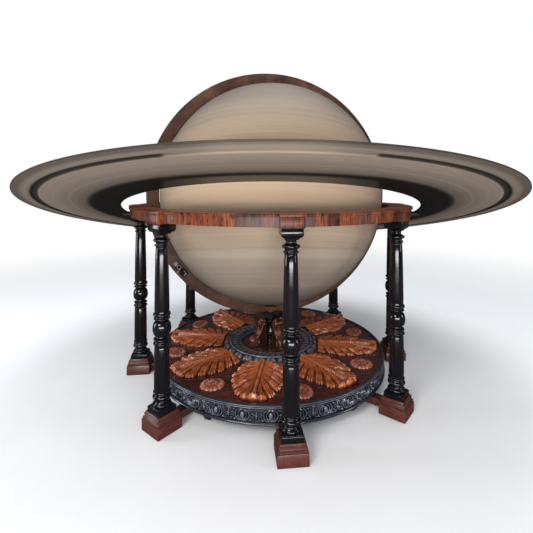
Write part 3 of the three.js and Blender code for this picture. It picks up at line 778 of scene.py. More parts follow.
# ---- lower platform ----
m = Mesh()
RIM_I = PLAT_R - 18
lathe(m, profile((0.01, BOARD_Z0), (370, BOARD_Z0), (370, BEAM_Z1 + 0.3), (430, BEAM_Z1 + 0.3), (430, BOARD_Z0), (RIM_I - 1, BOARD_Z0), (RIM_I - 1, PLAT_TOP), (300, PLAT_TOP), (0.01, PLAT_TOP)), 192)
piece(m.make("polished_board", M["board"], 30), "stand", "board_wood", "platform_board")


def smooth(x, a, b):
    t = np.clip((x - a) / (b - a), 0, 1)
    return t * t * (3 - 2 * t)


def ridge(d, w):
    return np.exp(-((d / w) ** 2))


def frieze(X, Z, P):
    """Relief of one run of the rim's carving. X along the rim within a period of length P, Z up from the middle, in mm."""
    X = (X + P / 2) % P - P / 2
    q = np.sqrt((X / 9.0) ** 2 + ((Z + 1) / 12.0) ** 2)
    h = 6.2 * np.sqrt(np.clip(1 - q ** 2, 0, 1))
    # a husk that wraps the egg, open at the top
    q2 = np.sqrt((X / 15.5) ** 2 + ((Z + 1) / 16.0) ** 2)
    h = np.maximum(h, 4.6 * ridge(q2 - 1, 0.17) * smooth(-Z, -15.5, -8.0))
    # the cartouche's own frame
    q3 = np.sqrt((X / 26.5) ** 2 + (Z / 20.0) ** 2)
    h = np.maximum(h, 5.6 * ridge(q3 - 1, 0.115))
    for s_ in (-1, 1):
        for e_ in (-1, 1):
            d = np.hypot(X - s_ * 39.0, Z - e_ * 10.5)
            h = np.maximum(h, 5.0 * ridge(d - 6.6, 2.0))
            h = np.maximum(h, 5.0 * np.sqrt(np.clip(1 - (d / 2.8) ** 2, 0, 1)))
            d2 = np.hypot(X - s_ * 29.0, Z - e_ * 17.0)
            h = np.maximum(h, 4.8 * np.sqrt(np.clip(1 - (d2 / 4.6) ** 2, 0, 1)))
    Xb = np.abs(X) - P / 2
    qb = np.sqrt((Xb / 4.6) ** 2 + (Z / 17.0) ** 2)
    h = np.maximum(h, 5.6 * np.sqrt(np.clip(1 - qb ** 2, 0, 1)) - 1.6 * ridge(Z, 1.6) * (qb < 1))
    return h


PER = 33
SEG = PER * 56
rim_steps = [
    (RIM_I, RIM_Z0), (PLAT_R - 3, RIM_Z0), (PLAT_R - 1.4, RIM_Z0 + 0.6), (PLAT_R - 1.4, RIM_Z0 + 8.4, 0.55), (PLAT_R - 3.4, RIM_Z0 + 8.8), (PLAT_R - 3.8, RIM_Z0 + 10.4), (PLAT_R - 8.2, RIM_Z0 + 10.8),
]
low = profile(*rim_steps)
FZ0, FZ1 = RIM_Z0 + 11.0, RIM_Z1 - 13.5
fz = np.linspace(FZ0, FZ1, 30)
mid = np.stack([PLAT_R - 9.6 - 1.0 * np.sin(np.linspace(0, math.pi, 30)), fz], 1)
high = profile(
    (PLAT_R - 8.2, RIM_Z1 - 13.2), (PLAT_R - 3.6, RIM_Z1 - 12.8), (PLAT_R - 3.2, RIM_Z1 - 11.6), (PLAT_R - 3.2, RIM_Z1 - 7.0, 0.85), (PLAT_R - 4.6, RIM_Z1 - 6.4),
    (PLAT_R - 4.6, RIM_Z1 - 1.6, 0.85), (PLAT_R - 6.4, RIM_Z1 - 1.0), (PLAT_R - 7.4, RIM_Z1), (RIM_I + 4.5, RIM_Z1), (RIM_I + 1.0, RIM_Z1 - 2.2, 0.5), (RIM_I, RIM_Z1 - 3.2), (RIM_I, RIM_Z0 + 1),
)
prof = np.concatenate([low, mid, high])
a = np.arange(SEG) / SEG * 2 * math.pi
Rr = np.broadcast_to(prof[:, 0], (SEG, len(prof))).copy()
Zz = np.broadcast_to(prof[:, 1], (SEG, len(prof)))
arc_len = (a + math.pi / 2) * (PLAT_R - 8)
P = 2 * math.pi * (PLAT_R - 8) / PER
i0, i1 = len(low), len(low) + 30
X = np.broadcast_to(arc_len[:, None], (SEG, 30))
Zc = np.broadcast_to((fz - (FZ0 + FZ1) / 2)[None], (SEG, 30)) * 42.0 / (FZ1 - FZ0)
fade = smooth(np.linspace(0, 1, 30), 0.0, 0.06) * smooth(np.linspace(1, 0, 30), 0.0, 0.06)
Rr[:, i0:i1] += 1.35 * frieze(X, Zc, P) * fade
m = Mesh()
V = np.stack([np.cos(a)[:, None] * Rr, np.sin(a)[:, None] * Rr, Zz], 2)
# REL feeds the carved ebony's painted light: raised carving gets the painted highlight colour, sunk ground is painted
# near black as painted shade, and plain mouldings get a faint painted highlight.
REL = np.zeros((SEG, len(prof)))
REL[:, i0:i1] = frieze(X, Zc, P) * fade / 5.0 - 0.35
REL[:, :i0], REL[:, i1:] = 0.12, 0.12
# Beads: their outer faces get a painted highlight, the hollows behind them painted shade.
for z_lo, z_hi, r_ in ((-11.7, -6.9, 3.1), (-6.5, -1.5, 4.5)):
    bead = (prof[:, 1] > RIM_Z1 + z_lo) & (prof[:, 1] < RIM_Z1 + z_hi) & (prof[:, 0] > PLAT_R - 8)
    REL[:, bead] = np.where(prof[bead, 0] > PLAT_R - r_, 0.55, -0.30)[None]
m.add(V, [grid_faces(SEG, len(prof), cu=True, cv=True)], 0, rel=REL)
piece(m.make("carved_rim", M["rim"], 40), "stand", "ebonised_wood", "platform_rim")

# ---- boss ring round the centre ----
NB = 26
SEG = NB * 30
bz = PLAT_TOP + 0.3
base_prof = profile((BOSS_RI + 1, bz), (BOSS_RO - 1, bz), (BOSS_RO, bz + 1), (BOSS_RO, bz + 4.0), (BOSS_RO - 1.5, bz + 5.5))
slope_n = 24
t = np.linspace(0, 1, slope_n)
slope = np.stack([BOSS_RO - 3 - 24 * t, bz + 5.5 + 12.5 * np.sin(t * math.pi / 2)], 1)
crest = profile((BOSS_RO - 28, bz + 17.6), (BOSS_RO - 29, bz + 19), (BOSS_RO - 35, bz + 19, 0.9), (BOSS_RO - 36.5, bz + 17.2))
inner_n = 18
ti = np.linspace(0, 1, inner_n)
inner = np.stack([BOSS_RO - 38 - 38 * ti, bz + 16.8 - 4.5 * ti], 1)
lip = profile((BOSS_RI + 10, bz + 11.6), (BOSS_RI + 9, bz + 12.6), (BOSS_RI + 2.5, bz + 12.4, 0.8), (BOSS_RI, bz + 9.5), (BOSS_RI, bz + 0.5))
prof = np.concatenate([base_prof, slope, crest, inner, lip])
a = np.arange(SEG) / SEG * 2 * math.pi
Rr = np.broadcast_to(prof[:, 0], (SEG, len(prof))).copy()
Zz = np.broadcast_to(prof[:, 1], (SEG, len(prof))).copy()
ph = (a[:, None] * NB / (2 * math.pi)) % 1.0 - 0.5
s0 = len(base_prof)
# boss_rel and REL feed the carved ebony's painted light: raised leaves, the crest and the flutes get the painted
# highlight colour, veins and the ground between them are painted dark as painted shade.
boss_rel = []
for j in range(slope_n):
    u = t[j]
    wl = 0.46 * (1 - 0.55 * u ** 2)
    leaf = np.sqrt(np.clip(1 - (ph[:, 0] / wl) ** 2, 0, 1)) * (0.35 + 0.65 * math.sin(math.pi * min(1, u * 1.1)))
    vein = 0.45 * ridge(ph[:, 0], 0.05) + 0.25 * ridge(np.abs(ph[:, 0]) - 0.20 * (1 - u), 0.035)
    d = 6.2 * (leaf - vein * leaf) * (1 if u < 0.97 else 0.4)
    Rr[:, s0 + j] += d * 0.45
    Zz[:, s0 + j] += d * 0.75
    boss_rel.append(0.95 * (leaf - 2.0 * vein * leaf) - 0.30)
s1 = s0 + slope_n + len(crest)
REL = np.full((SEG, len(prof)), 0.15)
REL[:, s0 + slope_n:s1] = 0.42
ph2 = (a * NB * 1.5 / (2 * math.pi)) % 1.0 - 0.5
for j in range(inner_n):
    u = ti[j]
    flute = np.sqrt(np.clip(1 - (ph2 / 0.42) ** 2, 0, 1)) * math.sin(math.pi * min(1, max(0.0, u))) ** 0.5
    Zz[:, s1 + j] += 3.6 * flute - 1.8 * ridge(ph2, 0.06) * (0.1 < u < 0.9)
    REL[:, s1 + j] = 0.75 * flute - 0.30
for j, r_ in enumerate(boss_rel):
    REL[:, s0 + j] = r_
m = Mesh()
V = np.stack([np.cos(a)[:, None] * Rr, np.sin(a)[:, None] * Rr, Zz], 2)
m.add(V, [grid_faces(SEG, len(prof), cu=True, cv=True)], 0, rel=REL)
piece(m.make("carved_boss_ring", M["boss"], 40), "stand", "ebonised_wood", "boss_ring")


# ---- acanthus leaves: one carved relief each, its ribs fanning out to lobed and toothed edges, its tip rolled over ----
LEAF_N = 7  # lobes on each side of the tip


def leaf_edge(q):
    """The far end of the rib q (0 at the tip, 1 at the foot) of a plain, unlobed leaf: along and across, in mm."""
    k = np.array([0.0, 0.10, 0.20, 0.32, 0.45, 0.58, 0.72, 0.86, 1.0])
    x = np.interp(q, k, [288, 285, 270, 230, 190, 145, 98, 46, -10])
    y = np.interp(q, k, [0, 34, 58, 86, 108, 118, 116, 105, 84])
    return x, y


def acanthus(m, place):
    L0, zb = 243.0, PLAT_TOP + 0.3
    ns, nq = ((88, 250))
    sv = np.linspace(0, 1, ns)
    qs = np.linspace(-1, 1, nq)
    Sg, Q = np.meshgrid(sv, qs, indexing="ij")
    aq = np.abs(Q)
    w = aq * (LEAF_N + 0.5)
    ph = (w + 0.5) % 1.0 - 0.5
    lobe = np.round(w)
    cut = np.abs(2 * ph)
    tooth = 1 - np.abs(((ph * 4.0 + 0.5) % 1.0) * 2 - 1) ** 1.5
    reach = 1.0 - 0.17 * cut ** 2.6 - 0.075 * (1 - tooth) - 0.03 * np.sin(lobe * 2.3)
    reach = np.where(lobe <= 1, 1.0 - 0.05 * cut ** 3, reach)
    ex, ey = leaf_edge(aq)
    sg = np.sign(Q)
    # ribs leave the midrib in turn and bend outwards
    T = Sg * reach
    c0x, c0y = 172.0 * (1 - aq) ** 1.35 + 0.0 * T, 0.4 + 0.0 * T
    c1x, c1y = c0x + (0.60 - 0.1 * aq) * (ex - c0x), (0.34 + 0.16 * aq) * ey
    x = (1 - T) ** 2 * c0x + 2 * T * (1 - T) * c1x + T ** 2 * ex
    y = (1 - T) ** 2 * c0y + 2 * T * (1 - T) * c1y + T ** 2 * ey
    # inside a lobe the end is rounded: pull the edge of the lobe back along its own rib
    y = y * sg
    grow = smooth(Sg, 0.10, 0.62)
    tipness = np.exp(-((aq / 0.17) ** 2))
    body = 12.5 * (1 - smooth(Sg, 0.0, 0.85)) + 7.0 + 3.6 * np.sin(math.pi * smooth(Sg, 0.30, 1.0)) * (1 - 0.5 * tipness)
    hollow = (0.5 + 0.5 * np.cos(2 * math.pi * ph))
    h = body + grow * (4.4 * hollow - 5.2 * ridge(cut - 1.0, 0.24) - 1.6 * ridge(ph, 0.07) * (lobe > 0))
    h = h + (0.35 + 0.65 * grow) * 2.0 * np.cos(2 * math.pi * ph * 4.0) * (1 - 0.4 * cut) + 3.0 * np.sin(lobe * 2.4 + 0.5) * smooth(Sg, 0.3, 0.7) * (1 - cut ** 4)
    h = h + 1.6 * np.cos(Sg * 17 - aq * 9 + 2.0 * np.sin(lobe * 1.7)) * smooth(Sg, 0.25, 0.55) * (1 - tipness)
    h = h + 0.7 * np.sin(Q * 74 + Sg * 5) * smooth(Sg, 0.05, 0.4) + 0.45 * np.sin(Q * 141 - Sg * 9) * smooth(Sg, 0.2, 0.6)
    # overlapping eyes where two lobes meet, halfway out
    h = h + 3.6 * ridge(cut - 1.0, 0.16) * ridge(Sg - 0.52, 0.045) - 4.6 * ridge(cut - 1.0, 0.12) * ridge(Sg - 0.62, 0.05)
    # the rolled tip: rises, rounds over and comes down outside
    roll = tipness * smooth(Sg, 0.66, 0.90)
    h = h + roll * (16.0 + 4.5 * np.abs(np.cos(Q * 52)) ** 0.7)
    x = x + roll * 1.5 * np.sin(np.clip((Sg - 0.66) / 0.34, 0, 1) * math.pi)
    h = h * (1 - 0.42 * smooth(Sg, 0.93, 1.0)) - 1.2 * smooth(Sg, 0.97, 1.0)
    # midrib with beads
    mid = ridge(np.abs(y) - 0.0, 5.2) * (Sg < 0.80)
    bead = 0.5 + 0.5 * np.cos(x * 2 * math.pi / 12.5)
    h = h + mid * (2.2 + 4.4 * bead) - 2.4 * ridge(np.abs(y) - 8.6, 1.8) * smooth(Sg, 0.0, 0.12) * (Sg < 0.80)
    h = np.maximum(h, 1.2)
    # skirt down to the board, drawn a little under the edge
    X = np.concatenate([x, x[-1:] * 0.992, x[-1:] * 0.985 + 0 * x[-1:]], 0)
    Y = np.concatenate([y, y[-1:] * 0.99, y[-1:] * 0.975], 0)
    H = np.concatenate([h, h[-1:] * 0.55, h[-1:] * 0], 0)
    # cav marks painted shade: the leaf is painted dark in the cuts between lobes, the grooves down each lobe and
    # between its fine ribs, the furrows, the fold under the rolled tip, the grooves beside the midrib and between its
    # beads, and on the skirt under the edge.
    cav = np.clip(0.95 * ridge(cut - 1.0, 0.26) * grow + 0.5 * ridge(ph, 0.07) * grow * (lobe > 0) + 0.62 * (0.5 - 0.5 * np.cos(2 * math.pi * ph * 4.0)) ** 2 * (0.5 + 0.5 * grow), 0, 1)
    cav = np.maximum(cav, 0.45 * smooth(-np.cos(Sg * 17 - aq * 9 + 2.0 * np.sin(lobe * 1.7)), 0.6, 1.0) * smooth(Sg, 0.35, 0.6) * (1 - tipness))
    cav = np.maximum(cav, 0.8 * ridge(Sg - 0.70, 0.035) * tipness)
    cav = np.maximum(cav, ridge(np.abs(y) - 8.6, 2.4) * (Sg < 0.8))
    cav = np.maximum(cav, 0.8 * (1 - bead) ** 1.5 * mid)
    cav = np.concatenate([cav, np.ones((2, nq))], 0)
    V = np.stack([L0 + X, Y, zb + H], 2)
    m.add(place(V.reshape(-1, 3)), [grid_faces(ns + 2, nq)], 0, lx=X, ly=Y, lz=H, cav=cav)


for c in range(8):
    m = Mesh()
    acanthus(m, at(LEAF_A0 + 45 * c))
    piece(m.make(f"carved_leaf_{c + 1}", M["leaf"], 60), "stand", "carved_wood", f"acanthus_leaf_{c + 1}")


# ---- rosettes ----
def rosette(m, place, turn):
    na, nr = ((168, 40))
    a = np.arange(na) / na * 2 * math.pi
    q = np.linspace(0.0, 1.0, nr)
    A, Q = np.meshgrid(a, q, indexing="ij")
    n1, n2 = 15, 8
    f1 = (A * n1 / (2 * math.pi)) % 1.0 - 0.5
    f2 = (A * n2 / (2 * math.pi) + 0.3 + turn) % 1.0 - 0.5
    edge = 1 + 0.028 * (np.cos(2 * math.pi * f1) - 0.4)
    x = 51.0 * edge * Q * np.cos(A)
    y = 43.0 * edge * Q * np.sin(A)
    outer = 11.5 * np.sqrt(np.clip(1 - ((Q - 0.66) / 0.35) ** 2, 0, 1)) * (1 - 0.38 * (2 * np.abs(f1)) ** 3)
    inner = (15.5 * np.sqrt(np.clip(1 - ((Q - 0.30) / 0.30) ** 2, 0, 1)) * (1 - 0.45 * (2 * np.abs(f2)) ** 3)) * (Q < 0.60)
    zz = np.maximum(np.maximum(outer, inner), 5.0 * np.sqrt(np.clip(1 - Q ** 8, 0, 1)))
    zz = zz - 1.9 * ridge(f1, 0.08) * ridge(Q - 0.78, 0.16) - 1.8 * ridge(f2, 0.08) * ridge(Q - 0.40, 0.14)
    zz = zz + 12.0 * np.exp(-((Q / 0.17) ** 4)) * (1 + 0.12 * np.cos(5 * A + turn * 3)) * (Q < 0.35)
    zz = zz + 0.9 * np.cos(A * n1 * 3) * ridge(Q - 0.80, 0.14)
    zz = zz * smooth(1 - Q, 0.0, 0.04)
    # cav marks painted shade: dark in the ring groove between the outer and inner petals, between the petals, and round
    # the centre boss.
    cav = np.clip(1.0 * ridge(Q - 0.55, 0.045) + 0.9 * ridge(np.abs(f1) - 0.5, 0.10) * smooth(Q, 0.55, 0.7) + 0.8 * ridge(np.abs(f2) - 0.5, 0.12) * (Q > 0.2) * (Q < 0.55) + ridge(Q - 0.19, 0.04), 0, 1)
    Z = PLAT_TOP + 0.3 + zz
    V = np.stack([x, y, Z], 2)
    V = rotz(V, math.degrees(turn) * 0.2)
    m.add(place(V.reshape(-1, 3)), [grid_faces(na, nr, cu=True, flip=True)], 0, lx=x, ly=y, lz=Z, cav=cav)


for c in range(8):
    m = Mesh()
    rosette(m, at(ROS_A0 + 45 * c, 472), 0.4 + c * 1.7)
    piece(m.make(f"carved_rosette_{c + 1}", M["rosette"], 60), "stand", "rosette_wood", f"rosette_{c + 1}")

# ---- centre post and scroll consoles ----
m = Mesh()
b = PLAT_TOP + 0.3
lathe(
    m,
    profile((0.01, b), (34, b), (34, b + 7, 0.6), (31, b + 8), (27, b + 15, -0.4), (28.5, b + 18), (28.5, b + 24, 0.8), (25, b + 26), (23.5, b + 36), (25.2, b + 74, 0.25),
            (22.8, b + 108), (24, b + 111), (27.5, b + 112), (27.5, b + 118, 0.8), (24.5, b + 119), (31.5, b + 126, -0.4), (32.8, b + 127), (32.8, b + 135), (0.01, b + 135.5)),
    56,
)
T_IN = MER_T / 2 + 0.8


def cheek(m, y0, y1):
    """A saddle cheek whose top follows the ring; local X along the ring's plane."""
    xs = np.linspace(-56, 56, 29)
    zt = GLOBE_Z - np.sqrt((MER_RO - 20) ** 2 - xs ** 2)
    zt = np.minimum(zt, 272.0)
    loop = [(x, 242.0) for x in xs] + [(x, z) for x, z in zip(xs[::-1], zt[::-1])]
    loop = np.array(loop)
    c = loop.mean(0)
    rows = []
    for y, k in ((y0, 0.0), (y0, 0.97), (y0 + 0.8, 1.0), (y1 - 0.8, 1.0), (y1, 0.97), (y1, 0.0)):
        p = c + (loop - c) * k
        rows.append(np.stack([p[:, 0], np.full(len(p), y), p[:, 1]], 1))
    V = rotz(np.array(rows), RING_TURN)
    m.add(V.reshape(-1, 3), [grid_faces(6, len(loop), cv=True)])


cheek(m, -28, -T_IN)
cheek(m, T_IN, 28)
xs = np.linspace(-55, 55, 29)
zt = GLOBE_Z - np.sqrt((MER_RO + 1.0) ** 2 - xs ** 2)
loop = np.array([(x, 242.3) for x in xs] + [(x, z) for x, z in zip(xs[::-1], np.maximum(zt[::-1], 243.0))])
rows = [np.stack([loop[:, 0] * k, np.full(len(loop), y), 250 + (loop[:, 1] - 250) * k], 1) for y, k in ((-T_IN, 0.0), (-T_IN, 1.0), (T_IN, 1.0), (T_IN, 0.0))]
m.add(rotz(np.array(rows), RING_TURN).reshape(-1, 3), [grid_faces(4, len(loop), cv=True)])
piece(m.make("saddle_post", M["ebony"], 40), "stand", "ebonised_wood", "ring_cradle")

CON = [
    (37, 0), (112, 0), (116, 7), (111, 12), (117, 21), (118, 33), (112, 45), (100, 52), (88, 52), (79, 60), (72, 75), (70, 91),
    (74, 104), (82, 113), (83, 123), (76, 130), (64, 132), (46, 127), (37, 121),
]


def catmull(pts, n=6):
    pts = np.array(pts, float)
    out = []
    k = len(pts)
    for i in range(k):
        p0, p1, p2, p3 = pts[(i - 1) % k], pts[i], pts[(i + 1) % k], pts[(i + 2) % k]
        for t in np.arange(n) / n:
            out.append(0.5 * (2 * p1 + (p2 - p0) * t + (2 * p0 - 5 * p1 + 4 * p2 - p3) * t ** 2 + (3 * p1 - p0 - 3 * p2 + p3) * t ** 3))
    return np.array(out)


def console(m, place):
    curve = catmull(CON[1:17], 5)[: 15 * 5]
    loop = np.concatenate([[[37, 0]], curve, [[76, 130], [64, 132], [46, 127], [37, 121]]])
    c = np.array([66.0, 66.0])
    rows, dark = [], []
    # dk marks the sunk side fields, which the material paints near black as painted shade; the raised border stays in
    # the wood's colour and the narrow outer face is painted somewhat darker (dk 0.3).
    for y, k, dk in ((-12.5, 0.0, 1), (-12.5, 0.86, 1), (-13.5, 0.85, 1), (-17.2, 0.875, 0), (-17.4, 0.93, 0), (-16.0, 0.985, 0), (-13.0, 1.0, 0.3), (13.0, 1.0, 0.3), (16.0, 0.985, 0), (17.4, 0.93, 0), (17.2, 0.875, 0), (13.5, 0.85, 1), (12.5, 0.86, 1), (12.5, 0.0, 1)):
        d = loop - c
        ln = np.linalg.norm(d, axis=1)[:, None]
        p = c + d * k if k < 0.5 else loop - d / ln * (1 - k) * 40
        rows.append(np.stack([p[:, 0], np.full(len(p), y), b + p[:, 1]], 1))
        dark.append(np.full(len(p), 1.15 * dk))
    V = np.array(rows)
    m.add(place(V.reshape(-1, 3)), [grid_faces(len(rows), len(loop), cv=True)], 0, lx=V[..., 2], ly=V[..., 1], lz=V[..., 0], cav=np.array(dark))
    for s in (-1, 1):
        for cx, cz, r0, turns, start, d in ((94, 29, 21.5, 1.9, -0.9, 1), (62, 111, 17, 1.7, 0.4, 1)):
            th = np.linspace(0, turns * 2 * math.pi, 60)
            r = r0 * (1 - 0.84 * th / th[-1])
            path = np.stack([cx + r * np.cos(start + d * th), np.full(60, s * 15.4), b + cz + r * np.sin(start + d * th)], 1)
            tube(m, path, 3.6 * (1 - 0.45 * th / th[-1]), 8, place=place, lx=0, ly=0, lz=0)
            tube(m, np.stack([[cx, s * 14.0, b + cz], [cx, s * 19.4, b + cz]]), [4.8, 3.6], 10, place=place, lx=0, ly=0, lz=0)
        path = np.stack([np.interp(np.linspace(0, 1, 24), [0, 0.5, 1], [88, 66, 56]), np.full(24, s * 16.2), b + np.linspace(46, 98, 24)], 1)
        tube(m, path, 2.2, 8, place=place, lx=0, ly=0, lz=0)
    # leaf work over the outer face: up the scroll and over the head
    nt = 26
    out = catmull(CON[1:17], 5)[3 * 5: 15 * 5]
    seg_len = np.concatenate([[0], np.cumsum(np.linalg.norm(np.diff(out, axis=0), axis=1))])
    seg_len /= seg_len[-1]

    def path_at(u):
        x = np.interp(u, seg_len, out[:, 0])
        zz = np.interp(u, seg_len, out[:, 1])
        return np.stack([x, 0 * x, b + zz], 1)

    for u0, u1, off, wid, ht in ((0.02, 0.40, 0, 12, 4.0), (0.30, 0.74, 0, 11, 4.5), (0.62, 0.99, 0, 13, 5.5), (0.05, 0.38, -10, 8, 3.2), (0.05, 0.38, 10, 8, 3.2), (0.34, 0.70, -9, 7, 3.4), (0.34, 0.70, 9, 7, 3.4), (0.66, 0.97, -11, 8, 4.6), (0.66, 0.97, 11, 8, 4.6)):
        uu = np.linspace(u0, u1, nt)
        C = path_at(uu)
        C[:, 1] = off * np.linspace(0.45, 1.0, nt)
        T = np.gradient(C, axis=0)
        T /= np.linalg.norm(T, axis=1)[:, None]
        S = np.broadcast_to(np.array([0, 1.0, 0]), C.shape)
        N = np.cross(T, S)
        if N[nt // 2][0] < 0 and u0 < 0.5:
            N = -N
        N = np.where((N[:, :1] < -0.2) & (C[:, 2:3] < b + 109), -N, N)
        t2 = np.linspace(0, 1, nt)
        w = wid * (0.45 + 0.55 * smooth(t2, 0, 0.5)) * np.sqrt(np.clip(1 - ((t2 - 0.6) / 0.405).clip(0, 1) ** 2, 0, 1)) + 0.1
        petal(m, C - N * 0.5, S, N, w, ht * (0.6 + 0.8 * smooth(t2, 0.5, 0.95)) * np.sqrt(np.clip(1 - t2 ** 8, 0.04, 1)), thick=2.0, groove=0.55, ribs=2.5, teeth=3, nv=13, place=place)


for c in range(4):
    m = Mesh()
    console(m, at(-58 + 90 * c))
    piece(m.make(f"carved_console_{c + 1}", M["console"], 45), "stand", "carved_wood", f"scroll_console_{c + 1}")

# ---- upright support ring ----
m = Mesh()
n = 256
hw = MER_T / 2
sec = [(MER_RI, -hw + 2), (MER_RI + 1, -hw), (MER_RI + 8, -hw), (MER_RI + 9, -hw + 0.8), (MER_RI + 11, -hw + 0.8), (MER_RI + 12, -hw), (MER_RO - 12, -hw), (MER_RO - 11, -hw + 0.8), (MER_RO - 9, -hw + 0.8), (MER_RO - 8, -hw),
       (MER_RO - 2.5, -hw), (MER_RO - 0.7, -hw + 0.8), (MER_RO, -hw + 2.6)]
sec = sec + [(r, -y) for r, y in sec[::-1]]
sec = np.array(sec)
th = np.arange(n) / n * 2 * math.pi
V = np.stack([np.cos(th)[:, None] * sec[:, 0], np.broadcast_to(sec[:, 1], (n, len(sec))), np.sin(th)[:, None] * sec[:, 0]], 2)
V = rotz(V, RING_TURN) + np.array([0, 0, GLOBE_Z])
m.add(V, [grid_faces(n, len(sec), cu=True, cv=True, flip=True)], 0, az=np.broadcast_to(th[:, None], (n, len(sec))), rad=np.broadcast_to(sec[:, 0], (n, len(sec))), ly=np.broadcast_to(sec[:, 1], (n, len(sec))))
piece(m.make("upright_ring_wood", M["ring_wood"], 35), "support_ring", "ring_wood", "meridian_ring")

# catch plate on the front face, 39 degrees below the left horizontal
m = Mesh()
tilt = math.radians(180 - 39)


def catch_place(V):
    """Local X outwards from the centre, Y away from the viewer, Z round the ring."""
    V = np.asarray(V, float)
    c, s = math.cos(tilt), math.sin(tilt)
    W = np.stack([V[..., 0] * c + V[..., 2] * s, V[..., 1], -V[..., 0] * s + V[..., 2] * c], -1)
    return rotz(W, RING_TURN) + np.array([0, 0, GLOBE_Z])


f0 = -hw - 0.3
def swap(V):
    return catch_place(np.stack([V[..., 0], -V[..., 2], V[..., 1]], -1))


f1 = -f0
rounded_box(m, 570, 600, -44, -4, f1, f1 + 3, 1.2, place=swap)
rounded_box(m, 568, 600, 10, 44, f1, f1 + 3, 1.2, place=swap)
rounded_box(m, 576, 594, -8, 14, f1, f1 + 2.4, 0.9, place=swap)
for i in range(4):
    rounded_box(m, 574, 597, -42 + 5.2 * i, -39 + 5.2 * i, f1 + 2.5, f1 + 6.5, 1.0, mat=1, place=swap)
tor = []
for i in range(28):
    a1_ = i / 28 * 2 * math.pi
    tor.append([584 + 9 * math.cos(a1_), -9 + 9 * math.sin(a1_), f1 + 5.2])
tor.append(tor[0])
tube(m, np.array(tor), 2.7, 8, mat=1, place=swap)
rounded_box(m, 574, 597, 15, 40, f1 + 2.5, f1 + 8.0, 1.6, place=swap)
tube(m, np.array([[577.5, 18, f1 + 8], [577.5, 27, f1 + 8], [577.5, 37, f1 + 8]]), 1.7, 8, mat=1, place=swap)
tube(m, np.array([[577.5, 37, f1 + 8], [585, 37, f1 + 8], [593, 37, f1 + 8]]), 1.7, 8, mat=1, place=swap)
tube(m, np.array([[588, 5, f1 + 3.5], [595, 5, f1 + 3.8], [602, 5, f1 + 4.2]]), 2.0, 8, mat=1, place=swap)
knob = profile((0.01, 0), (5.0, 0), (3.4, 3.0, -0.5), (5.6, 6.6, 0.6), (0.01, 9.2, 0.6))
aa = np.arange(24) / 24 * 2 * math.pi
V = np.stack([603 + np.cos(aa)[:, None] * knob[:, 0], 5 + np.sin(aa)[:, None] * knob[:, 0], np.broadcast_to(f1 + knob[:, 1], (24, len(knob)))], 2)
m.add(swap(V.reshape(-1, 3)), [grid_faces(24, len(knob), cu=True, flip=True)], 1)
piece(m.make("ring_catch_plate", [M["gun"], M["bright"]], 35), "support_ring", "brass", "meridian_catch")

# ---- globe: two half shells ----
for name, sgn, node in (("globe_half_north", 1, "hemisphere_north"), ("globe_half_south", -1, "hemisphere_south")):
    m = Mesh()
    rows = 84
    cols = 224
    e0, e1 = 0.35 / GLOBE_R, math.acos(12.5 / GLOBE_R)
    lat = np.linspace(e0, e1, rows)
    r, zz, la = list(GLOBE_R * np.cos(lat)), list(GLOBE_R * np.sin(lat)), list(np.sin(lat))
    r = [GLOBE_R - 8, GLOBE_R - 0.8] + r + [12.5, 12.5]
    zz = [0.15, 0.15] + zz + [GLOBE_R - 1.5, GLOBE_R - 8]
    la = [0, 0] + la + [1, 1]
    r, zz, la = np.array(r), sgn * np.array(zz), sgn * np.array(la)
    a = np.arange(cols) / cols * 2 * math.pi
    V = np.stack([np.cos(a)[:, None] * r, np.sin(a)[:, None] * r, np.broadcast_to(zz, (cols, len(r)))], 2)
    V = rotx(V, -TILT) + np.array([0, 0, GLOBE_Z])
    m.add(V, [grid_faces(cols, len(r), cu=True, flip=sgn < 0)], 0, lat=np.broadcast_to(la, (cols, len(r))))
    piece(m.make(name, M["globe"], 50), "globe", "globe_paint", node)

# ---- flat planet ring ----
m = Mesh()
h = 3.0
span = PLANET_RO - PLANET_RI
u = np.concatenate([np.linspace(0, 0.775, 44), [0.782, 0.786, 0.812, 0.838, 0.842], np.linspace(0.85, 1.0, 16)])
depth = np.zeros(len(u))
depth[(u > 0.784) & (u < 0.840)] = 1.1
depth[u < 0.30] = 0.9
micro = 0.10 * np.sin(u * 380) + 0.07 * np.sin(u * 911 + 1.0)
rr = PLANET_RI + 1.0 + (span - 2.0) * u
up = np.stack([rr, h - 0.35 - depth + micro * 0.6], 1)
dn = np.stack([rr[::-1], -(h - 0.35 - depth[::-1] + micro[::-1] * 0.6)], 1)
sec = np.concatenate([[(PLANET_RI, -h + 1.2), (PLANET_RI, h - 1.2)], up, [(PLANET_RO, h - 1.2), (PLANET_RO, -h + 1.2)], dn])
ua = (sec[:, 0] - PLANET_RI) / span
n = 420
th = np.arange(n) / n * 2 * math.pi
V = np.stack([np.cos(th)[:, None] * sec[:, 0], np.sin(th)[:, None] * sec[:, 0], np.broadcast_to(sec[:, 1], (n, len(sec)))], 2)


def disc_place(V):
    return rotx(V, -TILT) + np.array([0, 0, PIVOT_Z])


azm = np.broadcast_to(th[:, None], (n, len(sec)))
m.add(disc_place(V), [grid_faces(n, len(sec), cu=True, cv=True, flip=True)], 0, az=azm, across=np.broadcast_to(ua, (n, len(sec))))
for s in (0, 180):
    b2 = Mesh()
    rounded_box(b2, PLANET_RI - 6, PLANET_RI + 46, -15, 15, -10, 10, 2.2)
    V = rotz(np.concatenate(b2.v), s)
    m.add(disc_place(V), [np.concatenate(b2.f)], 1, az=math.radians(s), across=0.1)
piece(m.make("banded_ring", [M["disc"], M["iron"]], 40), "planet_ring", "disc_paint", "planet_ring")

